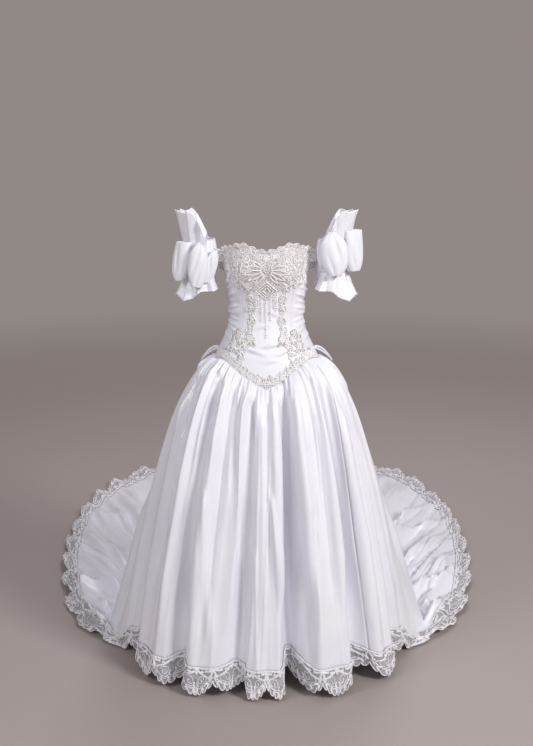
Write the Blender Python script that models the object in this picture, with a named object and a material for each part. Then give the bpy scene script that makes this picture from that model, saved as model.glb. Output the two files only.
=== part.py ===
"""Off-the-shoulder satin wedding dress with a beaded basque bodice, bow sleeves and a lace-edged train.

The dress keeps the hollow form that it has when worn. +Z is up, the front faces -Y and the train runs to +Y.
The origin is the middle of the natural waist, where the wearer holds the dress up.
Every cloth piece is a thin wall that follows one surface function, so neighbouring pieces share their seams.
"""

import math
from collections import namedtuple

import bmesh
import bpy
import numpy as np
from mathutils import Vector

# Driving sizes, in metres and degrees
WAIST_HEIGHT = 1.12
FLOOR = -WAIST_HEIGHT
SATIN_WALL = 0.002
LACE_WALL = 0.0015
SEAM_HALF_GAP = 0.0004
SEAM_DROP = 0.0005
LACE_GAP = 0.0018
EDGE_BEVEL = 0.0014
LACE_DEPTH = 0.085
HEM_CLEARANCE = 0.006
STEP = 1e-4

# The skirt is measured in columns round the hem: the front half first, then the train
FRONT_COLUMNS = 72
TRAIN_COLUMNS = 84
ALL_COLUMNS = FRONT_COLUMNS + TRAIN_COLUMNS
CENTRE_BACK = FRONT_COLUMNS + TRAIN_COLUMNS // 2
FRONT_AZIMUTH = 88.0
FRONT_SCALLOP = 6
TRAIN_SCALLOP = 3

SATIN_COLOUR = (0.90, 0.89, 0.91)
LACE_COLOUR = (0.86, 0.85, 0.88)
BEAD_COLOUR = (0.80, 0.77, 0.74)

# The bodice as horizontal sections: half its width, and its depth in front of and behind the middle
Section = namedtuple("Section", "height half_width front back")
BODICE_SECTIONS = [
    Section(-0.220, 0.185, 0.128, 0.125),
    Section(-0.165, 0.172, 0.120, 0.118),
    Section(-0.130, 0.162, 0.113, 0.112),
    Section(-0.105, 0.151, 0.107, 0.104),
    Section(-0.070, 0.134, 0.098, 0.092),
    Section(-0.030, 0.1185, 0.089, 0.080),
    Section(0.000, 0.1145, 0.085, 0.074),
    Section(0.050, 0.118, 0.088, 0.078),
    Section(0.100, 0.123, 0.096, 0.086),
    Section(0.145, 0.1275, 0.104, 0.092),
    Section(0.190, 0.133, 0.103, 0.094),
    Section(0.240, 0.139, 0.098, 0.092),
]

# The bodice's upper and lower edges by azimuth from the centre front
Edge = namedtuple("Edge", "azimuth neckline waist_seam")
BODICE_EDGES = [
    Edge(0, 0.205, -0.203),
    Edge(14, 0.213, -0.180),
    Edge(31, 0.226, -0.150),
    Edge(50, 0.217, -0.126),
    Edge(70, 0.211, -0.124),
    Edge(84, 0.200, -0.126),
    Edge(100, 0.172, -0.126),
    Edge(125, 0.166, -0.120),
    Edge(155, 0.168, -0.119),
    Edge(180, 0.170, -0.122),
]

# Where the bodice's panels meet, and its rows in the beaded yoke and in the beaded border
FRONT_SEAM = 40.0
BACK_SEAM = 98.0
YOKE_ROWS = 5
SCROLL_ROWS = 7
BORDER_ROWS = 2
YOKE_EDGE = 0.118
YOKE_SCALLOP = 0.004
YOKE_SCALLOPS_IN_FRONT = 7
BORDER_DEPTH = 0.028
BORDER_WAVE = 0.007
APPLIQUE_WALL = 0.0013
APPLIQUE_LIFT = APPLIQUE_WALL + 0.0006
SCROLL_LIFT = APPLIQUE_WALL + 0.001

# The two cups, as soft mounds over the front
CUP_AZIMUTH = 30.0
CUP_HEIGHT = 0.130
CUP_RISE = 0.016
CUP_SPREAD_AZIMUTH = 19.0
CUP_SPREAD_HEIGHT = 0.042

# Drawn-up folds in the side panels at the waist
DRAW_TOP = 0.115
DRAW_BOTTOM = -0.040
DRAW_COUNT = 3
DRAW_RISE = 0.003

# The train's outer edge and the line where the skirt lands on the floor, for one side
TrainEdge = namedtuple("TrainEdge", "share out back")
TRAIN_EDGE = [
    TrainEdge(0.0, 0.450, -0.016),
    TrainEdge(0.060, 0.575, 0.080),
    TrainEdge(0.145, 0.700, 0.250),
    TrainEdge(0.215, 0.760, 0.440),
    TrainEdge(0.320, 0.818, 0.720),
    TrainEdge(0.455, 0.848, 1.080),
    TrainEdge(0.575, 0.830, 1.420),
    TrainEdge(0.680, 0.755, 1.700),
    TrainEdge(0.775, 0.620, 1.930),
    TrainEdge(0.885, 0.330, 2.110),
    TrainEdge(1.0, 0.0, 2.170),
]
Landing = namedtuple("Landing", "share azimuth radius")
LANDING = [
    Landing(0.0, 88, 0.450),
    Landing(0.060, 95, 0.500),
    Landing(0.145, 104, 0.560),
    Landing(0.250, 116, 0.600),
    Landing(0.400, 131, 0.630),
    Landing(0.600, 147, 0.650),
    Landing(0.800, 163, 0.660),
    Landing(1.0, 180, 0.660),
]

# The front hem's radius by azimuth
HemRadius = namedtuple("HemRadius", "azimuth radius")
FRONT_HEM = [
    HemRadius(0, 0.312),
    HemRadius(25, 0.335),
    HemRadius(50, 0.392),
    HemRadius(70, 0.420),
    HemRadius(88, 0.450),
    HemRadius(100, 0.470),
]

# Points on the fall from waist to floor, as shares of the drop. The reach follows a power of the drop, which
# makes the front rounder and the back straighter
FALL_SHARES = (0.0, 0.03, 0.07, 0.13, 0.2, 0.3, 0.42, 0.56, 0.7, 0.85, 1.0)
FRONT_FALL_POWER = 0.55
BACK_FALL_POWER = 0.78
FLOOR_SHARES = (0.12, 0.3, 0.5, 0.7, 0.87, 1.0)
LANDING_ROW_DROP = 0.5

# Each large fold is a trough down the skirt: its column, half width in columns, depth and where it starts
Trough = namedtuple("Trough", "column half_width depth start")
TROUGHS = [
    Trough(3.3, 3.2, 0.058, 0.10),
    Trough(16.8, 3.2, 0.052, 0.42),
    Trough(27.8, 5.0, 0.036, 0.03),
    Trough(43.0, 4.4, 0.085, 0.0),
    Trough(57.3, 4.2, 0.080, 0.05),
    Trough(68.7, 2.8, 0.052, 0.15),
    Trough(77.2, 3.8, 0.050, 0.08),
    Trough(86.2, 4.5, 0.055, 0.02),
    Trough(96.0, 4.9, 0.060, 0.05),
    Trough(105.8, 4.5, 0.055, 0.0),
    Trough(114.8, 4.5, 0.060, 0.04),
    Trough(124.1, 4.9, 0.055, 0.02),
    Trough(133.5, 4.5, 0.060, 0.0),
    Trough(142.5, 4.5, 0.055, 0.06),
    Trough(151.1, 3.4, 0.050, 0.10),
]
HEM_LIFT = 0.42

# Small gathers below the waist seam
FRONT_GATHER = 4
BACK_GATHER = 3
GATHER_RISE = 0.009
GATHER_PLACE = 0.05
GATHER_LENGTH = 0.12

# Wrinkles in the train where it lies on the floor, each a ridge that runs out to the edge
Wrinkle = namedtuple("Wrinkle", "column half_width rise middle")
WRINKLES = [
    Wrinkle(79.5, 2.0, 0.026, 0.45),
    Wrinkle(84.0, 1.8, 0.020, 0.60),
    Wrinkle(87.8, 2.1, 0.034, 0.40),
    Wrinkle(92.2, 2.0, 0.022, 0.62),
    Wrinkle(96.8, 2.2, 0.036, 0.35),
    Wrinkle(101.2, 2.0, 0.024, 0.58),
    Wrinkle(105.8, 2.2, 0.034, 0.42),
    Wrinkle(110.2, 2.1, 0.024, 0.62),
    Wrinkle(114.8, 2.2, 0.036, 0.38),
    Wrinkle(119.2, 2.1, 0.024, 0.60),
    Wrinkle(123.8, 2.2, 0.034, 0.40),
    Wrinkle(128.2, 2.0, 0.026, 0.64),
    Wrinkle(132.8, 2.2, 0.036, 0.40),
    Wrinkle(137.2, 2.0, 0.022, 0.60),
    Wrinkle(141.0, 2.1, 0.034, 0.42),
    Wrinkle(144.8, 1.8, 0.020, 0.60),
    Wrinkle(149.2, 2.0, 0.026, 0.45),
]

# The sleeves: a snug band round the upper arm with a frill above and below it, and bow loops in front
ARM_OUT = 0.198
BAND_TOP = 0.235
BAND_BOTTOM = 0.100
BAND_RADIUS = 0.043
BAND_PUFF = 0.0075
FRILL_SEAT = 0.0017
# The frills: where each starts, how far it stands up or hangs down at the body and then more at the outer
# side of the arm, how far it spreads, and its pleats' pitch in degrees
UPPER_FRILL_BASE = 0.204
UPPER_FRILL_LOW = 0.030
UPPER_FRILL_RISE = 0.085
UPPER_FRILL_SPREAD = 0.020
UPPER_PLEAT = 32
LOWER_FRILL_BASE = 0.138
LOWER_FRILL_SEAT_HEIGHT = 0.145
LOWER_FRILL_LOW = 0.055
LOWER_FRILL_DROP = 0.030
LOWER_FRILL_SPREAD = 0.018
LOWER_PLEAT = 28
# Each bow loop is a petal of ribbon that is widest at its middle, by its distance out from the centre front
Loop = namedtuple(
    "Loop", "name top_out bottom_out forward turn width depth top bottom top_share bottom_share"
)
BOW_LOOPS_LEFT = [
    Loop("outer", 0.259, 0.263, 0.0345, 30, 0.062, 0.030, 0.262, 0.141, 0.50, 0.50),
    Loop("centre", 0.201, 0.218, 0.0716, 0, 0.072, 0.034, 0.260, 0.131, 0.22, 0.50),
    Loop("inner", 0.162, 0.164, 0.0463, -34, 0.028, 0.018, 0.240, 0.162, 0.30, 0.40),
]
BOW_LOOPS_RIGHT = [
    Loop("outer", 0.2448, 0.2608, 0.0472, 30, 0.056, 0.030, 0.228, 0.113, 0.66, 0.34),
    Loop("centre", 0.197, 0.209, 0.0779, 0, 0.054, 0.032, 0.228, 0.098, 0.24, 0.52),
    Loop("inner", 0.157, 0.173, 0.0605, -28, 0.036, 0.020, 0.206, 0.116, 0.34, 0.36),
]

# Short gathered links between the bodice's upper edge and the sleeves
Strap = namedtuple("Strap", "azimuth top bottom arm_azimuth arm_top arm_bottom start_gap end_gap")
STRAP_FRONT = Strap(70, 0.205, 0.165, 36, 0.213, 0.170, 0.0028, -0.0005)
STRAP_BACK = Strap(112, 0.163, 0.122, -28, 0.186, 0.147, 0.0005, -0.0003)

# Covered buttons down the centre back, and how far each one's back stands off the curve of the bodice, so
# that it meets the flat facets
BUTTON_RADIUS = 0.0055
BUTTON_AZIMUTH = 176.0
BUTTON_TOP = 0.150
BUTTON_PITCH = 0.034
BUTTON_SEATS = (-0.0002, -0.0001, 0.0002, 0.0001, 0.0012, 0.0009, 0.0006, 0.0005)


def from_table(rows, column, places):
    """A smooth curve through one column of a table, read at places along its first column."""
    at = np.array([row[0] for row in rows], float)
    value = np.array([getattr(row, column) for row in rows], float)
    slope = np.gradient(value, at)
    places = np.clip(places, at[0], at[-1])
    low = np.clip(np.searchsorted(at, places, side="right") - 1, 0, len(at) - 2)
    width = at[low + 1] - at[low]
    t = (places - at[low]) / width
    return (
        (2 * t**3 - 3 * t**2 + 1) * value[low]
        + (t**3 - 2 * t**2 + t) * width * slope[low]
        + (3 * t**2 - 2 * t**3) * value[low + 1]
        + (t**3 - t**2) * width * slope[low + 1]
    )


def ease(low, high, x):
    """0 below low, 1 above high and smooth between."""
    t = np.clip((x - low) / (high - low), 0.0, 1.0)
    return t * t * (3 - 2 * t)


def mound(x):
    """A smooth bump that is 1 at 0 and ends at -1 and 1."""
    return np.where(np.abs(x) < 1, np.cos(np.clip(x, -1, 1) * math.pi / 2) ** 2, 0.0)


def flare(share, power):
    """A flare that grows from nothing at a share of 0."""
    return np.maximum(share, 0.0) ** power


def bodice_surface(azimuth, height):
    """Points on the outside of the bodice. Azimuth is 0 at the centre front and grows towards +X."""
    turn = np.radians(azimuth)
    half_width = from_table(BODICE_SECTIONS, "half_width", height)
    front = from_table(BODICE_SECTIONS, "front", height)
    back = from_table(BODICE_SECTIONS, "back", height)
    depth = np.where(np.cos(turn) > 0, front, back)
    around = np.abs((azimuth + 180.0) % 360.0 - 180.0)
    cup = CUP_RISE * np.exp(
        -(((around - CUP_AZIMUTH) / CUP_SPREAD_AZIMUTH) ** 2)
        - ((height - CUP_HEIGHT) / CUP_SPREAD_HEIGHT) ** 2
    )
    side = ease(38, 55, around) * (1 - ease(98, 118, around))
    span = (height - DRAW_BOTTOM) / (DRAW_TOP - DRAW_BOTTOM)
    drawn = DRAW_RISE * side * np.sin(2 * math.pi * DRAW_COUNT * span) * mound(2 * span - 1)
    out = cup + drawn
    x = (half_width + out) * np.sin(turn)
    y = -(depth + out) * np.cos(turn)
    return np.stack([x, y, height + 0 * x], axis=-1)


def bodice_edge(which, azimuth):
    around = np.abs((azimuth + 180.0) % 360.0 - 180.0)
    return from_table(BODICE_EDGES, which, around)


def yoke_edge(azimuth):
    """The beaded yoke's lower edge: deep at the centre and over each cup, and high at the sides."""
    around = np.abs((azimuth + 180.0) % 360.0 - 180.0)
    centre_point = 0.052 * mound(around / 15)
    cup_point = 0.022 * mound((around - 42) / 20)
    return YOKE_EDGE - centre_point - cup_point + 0.02 * ease(58, 76, around)


def border_edge(azimuth):
    """The upper edge of the beaded border along the pointed waist."""
    around = np.abs((azimuth + 180.0) % 360.0 - 180.0)
    return bodice_edge("waist_seam", azimuth) + BORDER_DEPTH + BORDER_WAVE * np.cos(np.radians(around * 12))


def bodice_level(azimuth, level, rise=0.0):
    """The bodice by level: 0 neckline, 1 the yoke's lower edge, 2 the border's upper edge, 3 waist seam."""
    lines = [
        bodice_edge("neckline", azimuth) + rise,
        yoke_edge(azimuth),
        border_edge(azimuth),
        bodice_edge("waist_seam", azimuth),
    ]
    height = lines[0]
    for number in range(3):
        share = level - number if number == 2 else np.minimum(level - number, 1.0)
        share = share if number == 0 else np.maximum(share, 0.0)
        height = height + (lines[number + 1] - lines[number]) * share
    return bodice_surface(azimuth, height)


def train_share(column):
    """How far a column is along its side of the train, from 0 at the side to 1 at the centre back."""
    return 1 - np.abs(column - CENTRE_BACK) / (TRAIN_COLUMNS / 2)


def waist_azimuth(column):
    """The azimuth where a column leaves the waist seam."""
    front = -FRONT_AZIMUTH + 2 * FRONT_AZIMUTH * column / FRONT_COLUMNS
    back = FRONT_AZIMUTH + (360 - 2 * FRONT_AZIMUTH) * (column - FRONT_COLUMNS) / TRAIN_COLUMNS
    return np.where(column <= FRONT_COLUMNS, front, back)


def fold_depth(column, drop):
    """How far the large folds draw the cloth in, by column and by share of the drop."""
    total = np.zeros(np.broadcast(column, drop).shape)
    for trough in TROUGHS:
        across = (column - trough.column + ALL_COLUMNS / 2) % ALL_COLUMNS - ALL_COLUMNS / 2
        grow = ease(trough.start - 0.1, trough.start + 0.6, drop) ** 0.8
        if trough.column > FRONT_COLUMNS:
            grow = grow * (1 - 0.75 * ease(0.72, 1.0, drop))
        total = total + trough.depth * mound(across / trough.half_width) * grow
    return total


def gather_rise(column, drop):
    """Small gathers below the waist seam."""
    pitch = np.where(column < FRONT_COLUMNS, FRONT_GATHER, BACK_GATHER)
    fade = np.exp(-(((drop - GATHER_PLACE) / GATHER_LENGTH) ** 2)) * ease(0.0, 0.03, drop)
    return GATHER_RISE * np.cos(2 * math.pi * column / pitch) * fade


def wrinkle_rise(column, share):
    """Height of the train's wrinkles above the floor, by share of the way from landing to edge."""
    total = np.zeros(np.broadcast(column, share).shape)
    for wrinkle in WRINKLES:
        drift = 2.0 * (share - 0.5) * np.sign(CENTRE_BACK - wrinkle.column)
        across = (column - wrinkle.column - drift) / wrinkle.half_width
        along = np.exp(-(((share - wrinkle.middle) / 0.34) ** 2))
        total = total + wrinkle.rise * mound(across) * along
    return total * (1 - ease(0.72, 0.93, share))


def skirt_controls(column):
    """The points that each column's path is drawn from: down the fall, then out along the floor."""
    column = np.asarray(column, float) % ALL_COLUMNS
    azimuth = waist_azimuth(column)
    seam = bodice_edge("waist_seam", azimuth) - SEAM_DROP
    waist = bodice_surface(azimuth, seam)
    on_front = column <= FRONT_COLUMNS
    share = np.clip(train_share(column), 0.0, 1.0)
    around = np.where(on_front, np.abs(azimuth), from_table(LANDING, "azimuth", share))
    radius = np.where(
        on_front,
        from_table(FRONT_HEM, "radius", around),
        from_table(LANDING, "radius", share),
    )
    side = np.where(on_front, np.sign(azimuth), np.where(column < CENTRE_BACK, 1.0, -1.0))
    turn = np.radians(around)
    land = np.stack([side * radius * np.sin(turn), -radius * np.cos(turn)], axis=-1)
    hem = fold_depth(column, np.float64(1.0))
    on_floor = SATIN_WALL + 0.001
    lift = np.where(
        on_front,
        HEM_CLEARANCE + HEM_LIFT * hem,
        HEM_CLEARANCE + (on_floor - HEM_CLEARANCE) * ease(0.0, 0.12, share),
    )
    to_back = ease(0.0, 0.25, np.where(on_front, 0.0, share))
    power = FRONT_FALL_POWER + (BACK_FALL_POWER - FRONT_FALL_POWER) * to_back
    points = []
    for drop in FALL_SHARES:
        reach = (drop**power)[..., None]
        flat = waist[..., :2] + (land - waist[..., :2]) * reach
        out = gather_rise(column, drop) - fold_depth(column, np.float64(drop))
        flat = flat * (1 + out / np.linalg.norm(flat, axis=-1))[..., None]
        height = waist[..., 2] + (FLOOR + lift - waist[..., 2]) * drop
        points.append(np.concatenate([flat, height[..., None]], axis=-1))
    edge = np.stack(
        [side * from_table(TRAIN_EDGE, "out", share), from_table(TRAIN_EDGE, "back", share)],
        axis=-1,
    )
    start = points[-1]
    spread = np.where(on_front, 0.0, ease(0.0, 0.03, share))[..., None]
    edge = start[..., :2] + (edge - start[..., :2]) * spread
    for share_out in FLOOR_SHARES:
        flat = start[..., :2] + (edge - start[..., :2]) * share_out
        rise = np.where(on_front, 0.0, wrinkle_rise(column, np.float64(share_out)))
        rise = rise * ease(0.05, 0.25, share)
        height = start[..., 2] + rise
        points.append(np.concatenate([flat, height[..., None]], axis=-1))
    return np.stack(points, axis=-2)


def cut_corners(points, rounds=3):
    """Rounds a chain of points off by cutting each corner, keeping both ends."""
    for _ in range(rounds):
        near = 0.75 * points[..., :-1, :] + 0.25 * points[..., 1:, :]
        far = 0.25 * points[..., :-1, :] + 0.75 * points[..., 1:, :]
        between = np.stack([near, far], axis=-2)
        between = between.reshape(*points.shape[:-2], -1, points.shape[-1])
        points = np.concatenate([points[..., :1, :], between, points[..., -1:, :]], axis=-2)
    return points


def skirt_surface(column, reach):
    """Points on the skirt. Reach runs from 0 at the waist to 1 at the satin's edge and 2 at the lace's tips.

    The rows are spread so that one row follows the line where the train lands on the floor.
    """
    column, reach = np.broadcast_arrays(np.asarray(column, float), np.asarray(reach, float))
    controls = skirt_controls(column)
    number = np.broadcast_to(np.arange(controls.shape[-2], dtype=float)[:, None], (*controls.shape[:-1], 1))
    path = cut_corners(np.concatenate([controls, number], axis=-1))
    steps = np.linalg.norm(np.diff(path[..., :3], axis=-2), axis=-1)
    along = np.concatenate([np.zeros((*column.shape, 1)), np.cumsum(steps, axis=-1)], axis=-1)
    satin = along[..., -1] - LACE_DEPTH
    around = column % ALL_COLUMNS
    share = np.where(around < FRONT_COLUMNS, 0.0, train_share(around))
    turn = 1 - LANDING_ROW_DROP * ease(0.0, 0.7, share)
    result = np.empty((*column.shape, 3))
    for place in np.ndindex(column.shape):
        line = along[place]
        landing = min(np.interp(len(FALL_SHARES) - 1, path[place][:, 3], line), satin[place])
        wanted = np.interp(
            reach[place],
            (0.0, turn[place], 1.0 + 1e-9, 2.0),
            (0.0, landing * min(turn[place] * satin[place] / landing, 1.0), satin[place], line[-1]),
        )
        for axis in range(3):
            result[place][axis] = np.interp(wanted, line, path[place][:, axis])
    return result


def scallop(column):
    """Share of the lace's depth that a column reaches, from the dip between two scallops to a tip."""
    pitch = np.where(column % ALL_COLUMNS < FRONT_COLUMNS, FRONT_SCALLOP, TRAIN_SCALLOP)
    return 0.52 + 0.48 * np.sin(math.pi * ((column % ALL_COLUMNS) / pitch % 1.0)) ** 0.8


def lace_surface(column, depth):
    """The lace, from the satin's edge at 0 to its scalloped edge at 1."""
    start = LACE_GAP / LACE_DEPTH
    return skirt_surface(column, 1 + start + (scallop(column) - start) * depth)


def material(name, colour, roughness, metallic=0.0):
    made = bpy.data.materials.new(name)
    made.use_nodes = True
    shader = made.node_tree.nodes["Principled BSDF"]
    shader.inputs["Base Color"].default_value = (*colour, 1.0)
    shader.inputs["Roughness"].default_value = roughness
    shader.inputs["Metallic"].default_value = metallic
    return made


def finish_object(name, mesh, finish, collection):
    made = bpy.data.objects.new(name, mesh)
    made.data.materials.append(finish)
    made.data.shade_smooth()
    collection.objects.link(made)
    return made


def cloth(name, surface, u_lines, v_lines, wall, finish, collection, facing=1, offset=0.0, gaps=(True, True)):
    """A cloth wall that follows a surface: a grid, extruded once, whose two sheets lie a wall apart.

    The surface is read at each pair of u and v lines. facing is 1 where the wall's outer side is that of
    du x dv, and -1 where it is the other. offset moves both sheets out. gaps says which of the first and
    last u lines is a seam.
    """
    columns, rows = len(u_lines) - 1, len(v_lines) - 1
    u, v = np.meshgrid(np.array(u_lines, float), np.array(v_lines, float), indexing="ij")
    along = (surface(u + STEP, v) - surface(u - STEP, v)) / (2 * STEP)
    speed = np.maximum(np.linalg.norm(along, axis=-1), 1e-6)
    if gaps[0]:
        u[0] += SEAM_HALF_GAP / speed[0]
    if gaps[1]:
        u[-1] -= SEAM_HALF_GAP / speed[-1]
    points = surface(u, v)
    along = surface(u + STEP, v) - surface(u - STEP, v)
    below = surface(u, v + STEP) - surface(u, v - STEP)
    normal = facing * np.cross(along, below)
    # Between its seams the wall follows the piece's own facets, and along a seam the true curve
    facets = facing * np.cross(np.gradient(points, axis=0), np.gradient(points, axis=1))
    normal[1:-1] = facets[1:-1]
    normal /= np.maximum(np.linalg.norm(normal, axis=-1, keepdims=True), 1e-15)
    outside = points + normal * offset
    inside = outside - normal * wall
    along /= np.maximum(np.linalg.norm(along, axis=-1, keepdims=True), 1e-15)
    below /= np.maximum(np.linalg.norm(below, axis=-1, keepdims=True), 1e-15)
    inside[0] += along[0] * EDGE_BEVEL
    inside[-1] -= along[-1] * EDGE_BEVEL
    inside[:, 0] += below[:, 0] * EDGE_BEVEL
    inside[:, -1] -= below[:, -1] * EDGE_BEVEL
    bm = bmesh.new()
    bmesh.ops.create_grid(bm, x_segments=columns, y_segments=rows, size=0.5)
    u_line = bm.verts.layers.int.new("u_line")
    v_line = bm.verts.layers.int.new("v_line")
    for vert in bm.verts:
        vert[u_line] = round((vert.co.x + 0.5) * columns)
        vert[v_line] = round((vert.co.y + 0.5) * rows)
        vert.co = Vector(outside[vert[u_line], vert[v_line]])
    # Both sheets take the same triangles, so that a twisted stretch can't cross its own wall
    bmesh.ops.triangulate(bm, faces=bm.faces[:], quad_method="SHORT_EDGE")
    raised = bmesh.ops.extrude_face_region(bm, geom=bm.faces[:])
    outer = {item for item in raised["geom"] if isinstance(item, bmesh.types.BMVert)}
    for vert in bm.verts:
        if vert not in outer:
            vert.co = Vector(inside[vert[u_line], vert[v_line]])
    bmesh.ops.recalc_face_normals(bm, faces=bm.faces[:])
    if bm.calc_volume(signed=True) < 0:
        bmesh.ops.reverse_faces(bm, faces=bm.faces[:])
    mesh = bpy.data.meshes.new(name)
    bm.to_mesh(mesh)
    bm.free()
    return finish_object(name, mesh, finish, collection)


def levels(above, between, below):
    """The bodice's rows: so many above the yoke's edge, between it and the border, and in the border."""
    first = np.linspace(0, 1, above + 1)
    second = np.linspace(1, 2, between + 1)[1:]
    third = np.linspace(2, 3, below + 1)[1:]
    return np.concatenate([first, second, third])


def make_bodice(satin, collection):
    """Front, two side panels with drawn-up folds, and two back panels that meet at the centre back."""
    front = np.linspace(-FRONT_SEAM, FRONT_SEAM, 15)
    side = np.linspace(FRONT_SEAM, BACK_SEAM, 8)
    back = np.linspace(BACK_SEAM, 180, 10)
    panels = [
        ("bodice_front", front, levels(YOKE_ROWS, SCROLL_ROWS, BORDER_ROWS)),
        ("bodice_side_left", side, levels(YOKE_ROWS, 11, BORDER_ROWS)),
        ("bodice_back_left", back, levels(1, 5, 1)),
        ("bodice_back_right", 360 - back[::-1], levels(1, 5, 1)),
        ("bodice_side_right", 360 - side[::-1], levels(YOKE_ROWS, 11, BORDER_ROWS)),
    ]
    for name, columns, rows in panels:
        cloth(name, bodice_level, columns, rows, SATIN_WALL, satin, collection, facing=-1)


def make_applique(beads, collection):
    """Beaded lace on the satin: a yoke over the bust, a border on the point and a scroll down each side."""
    side = np.linspace(FRONT_SEAM, BACK_SEAM, 8)
    front = np.linspace(-FRONT_SEAM, FRONT_SEAM, 15)

    def across(extra):
        return np.concatenate([-side[extra:0:-1], front, side[1 : extra + 1]])

    def yoke(azimuth, level):
        pitch = 2 * FRONT_SEAM / YOKE_SCALLOPS_IN_FRONT
        rise = YOKE_SCALLOP * (0.5 - 0.5 * np.cos(np.radians(azimuth * 360 / pitch)))
        return bodice_level(azimuth, level, rise)

    yoke_rows = levels(YOKE_ROWS, 1, 1)[: YOKE_ROWS + 1]
    border_rows = levels(1, 1, BORDER_ROWS)[2:]
    wall = APPLIQUE_WALL
    cloth("applique_yoke", yoke, across(5), yoke_rows, wall, beads, collection, -1, APPLIQUE_LIFT)
    cloth("applique_border", bodice_level, across(3), border_rows, wall, beads, collection, -1, APPLIQUE_LIFT)
    for label, side_sign in (("left", 1), ("right", -1)):

        def scroll(level, across, side_sign=side_sign):
            """A leafy strip that sways from the cup down to the hip."""
            share = level - 1
            middle = 27 - 5 * np.sin(math.pi * share) + 6 * share**2
            wide = 5.0 + 2.0 * np.cos(2 * math.pi * share * 3.5)
            return bodice_level(side_sign * (middle + wide * across), level)

        lines = np.linspace(1, 2, SCROLL_ROWS + 1)
        lines[0] += 0.04
        lines[-1] -= 0.04
        name, rows = f"applique_scroll_{label}", (-1, 0, 1)
        cloth(name, scroll, lines, rows, wall, beads, collection, side_sign, SCROLL_LIFT, (False, False))


SKIRT_PANELS = [
    ("front", 12, 60),
    ("side_left", 60, 90),
    ("back_left", 90, 114),
    ("back_right", 114, 138),
    ("side_right", 138, 168),
]


# Rows down the skirt, as shares of the way to the satin's edge
SKIRT_ROWS = (0, 0.04, 0.11, 0.22, 0.36, 0.51, 0.65, 0.78, 0.9, 1)
TRAIN_ROWS = (0, 0.025, 0.07, 0.14, 0.23, 0.33, 0.42, 0.5, 0.57, 0.67, 0.77, 0.88, 1)


def make_skirt(satin, collection):
    """Five gores from the waist seam to the hem; the back ones run out into the train."""
    for label, start, end in SKIRT_PANELS:
        rows = SKIRT_ROWS if label in ("front", "side_left", "side_right") else TRAIN_ROWS
        columns = np.linspace(start, end, end - start + 1)
        cloth(f"skirt_{label}", skirt_surface, columns, rows, SATIN_WALL, satin, collection, facing=-1)


def make_lace(lace, collection):
    """The scalloped lace edging, one length for each gore."""
    for label, start, end in SKIRT_PANELS:
        columns = np.linspace(start, end, end - start + 1)
        cloth(f"lace_{label}", lace_surface, columns, (0, 0.5, 1), LACE_WALL, lace, collection, facing=-1)


def band_radius(height):
    span = (height - BAND_BOTTOM) / (BAND_TOP - BAND_BOTTOM)
    return BAND_RADIUS + BAND_PUFF * np.sin(math.pi * np.clip(span, 0, 1))


def arm_point(side, azimuth, radius, height):
    """A point round the arm. Azimuth is 0 towards the body, 90 to the front and 180 outwards."""
    turn = np.radians(azimuth)
    x = side * (ARM_OUT - radius * np.cos(turn))
    y = -radius * np.sin(turn)
    return np.stack([x, y, height + 0 * x], axis=-1)


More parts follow.
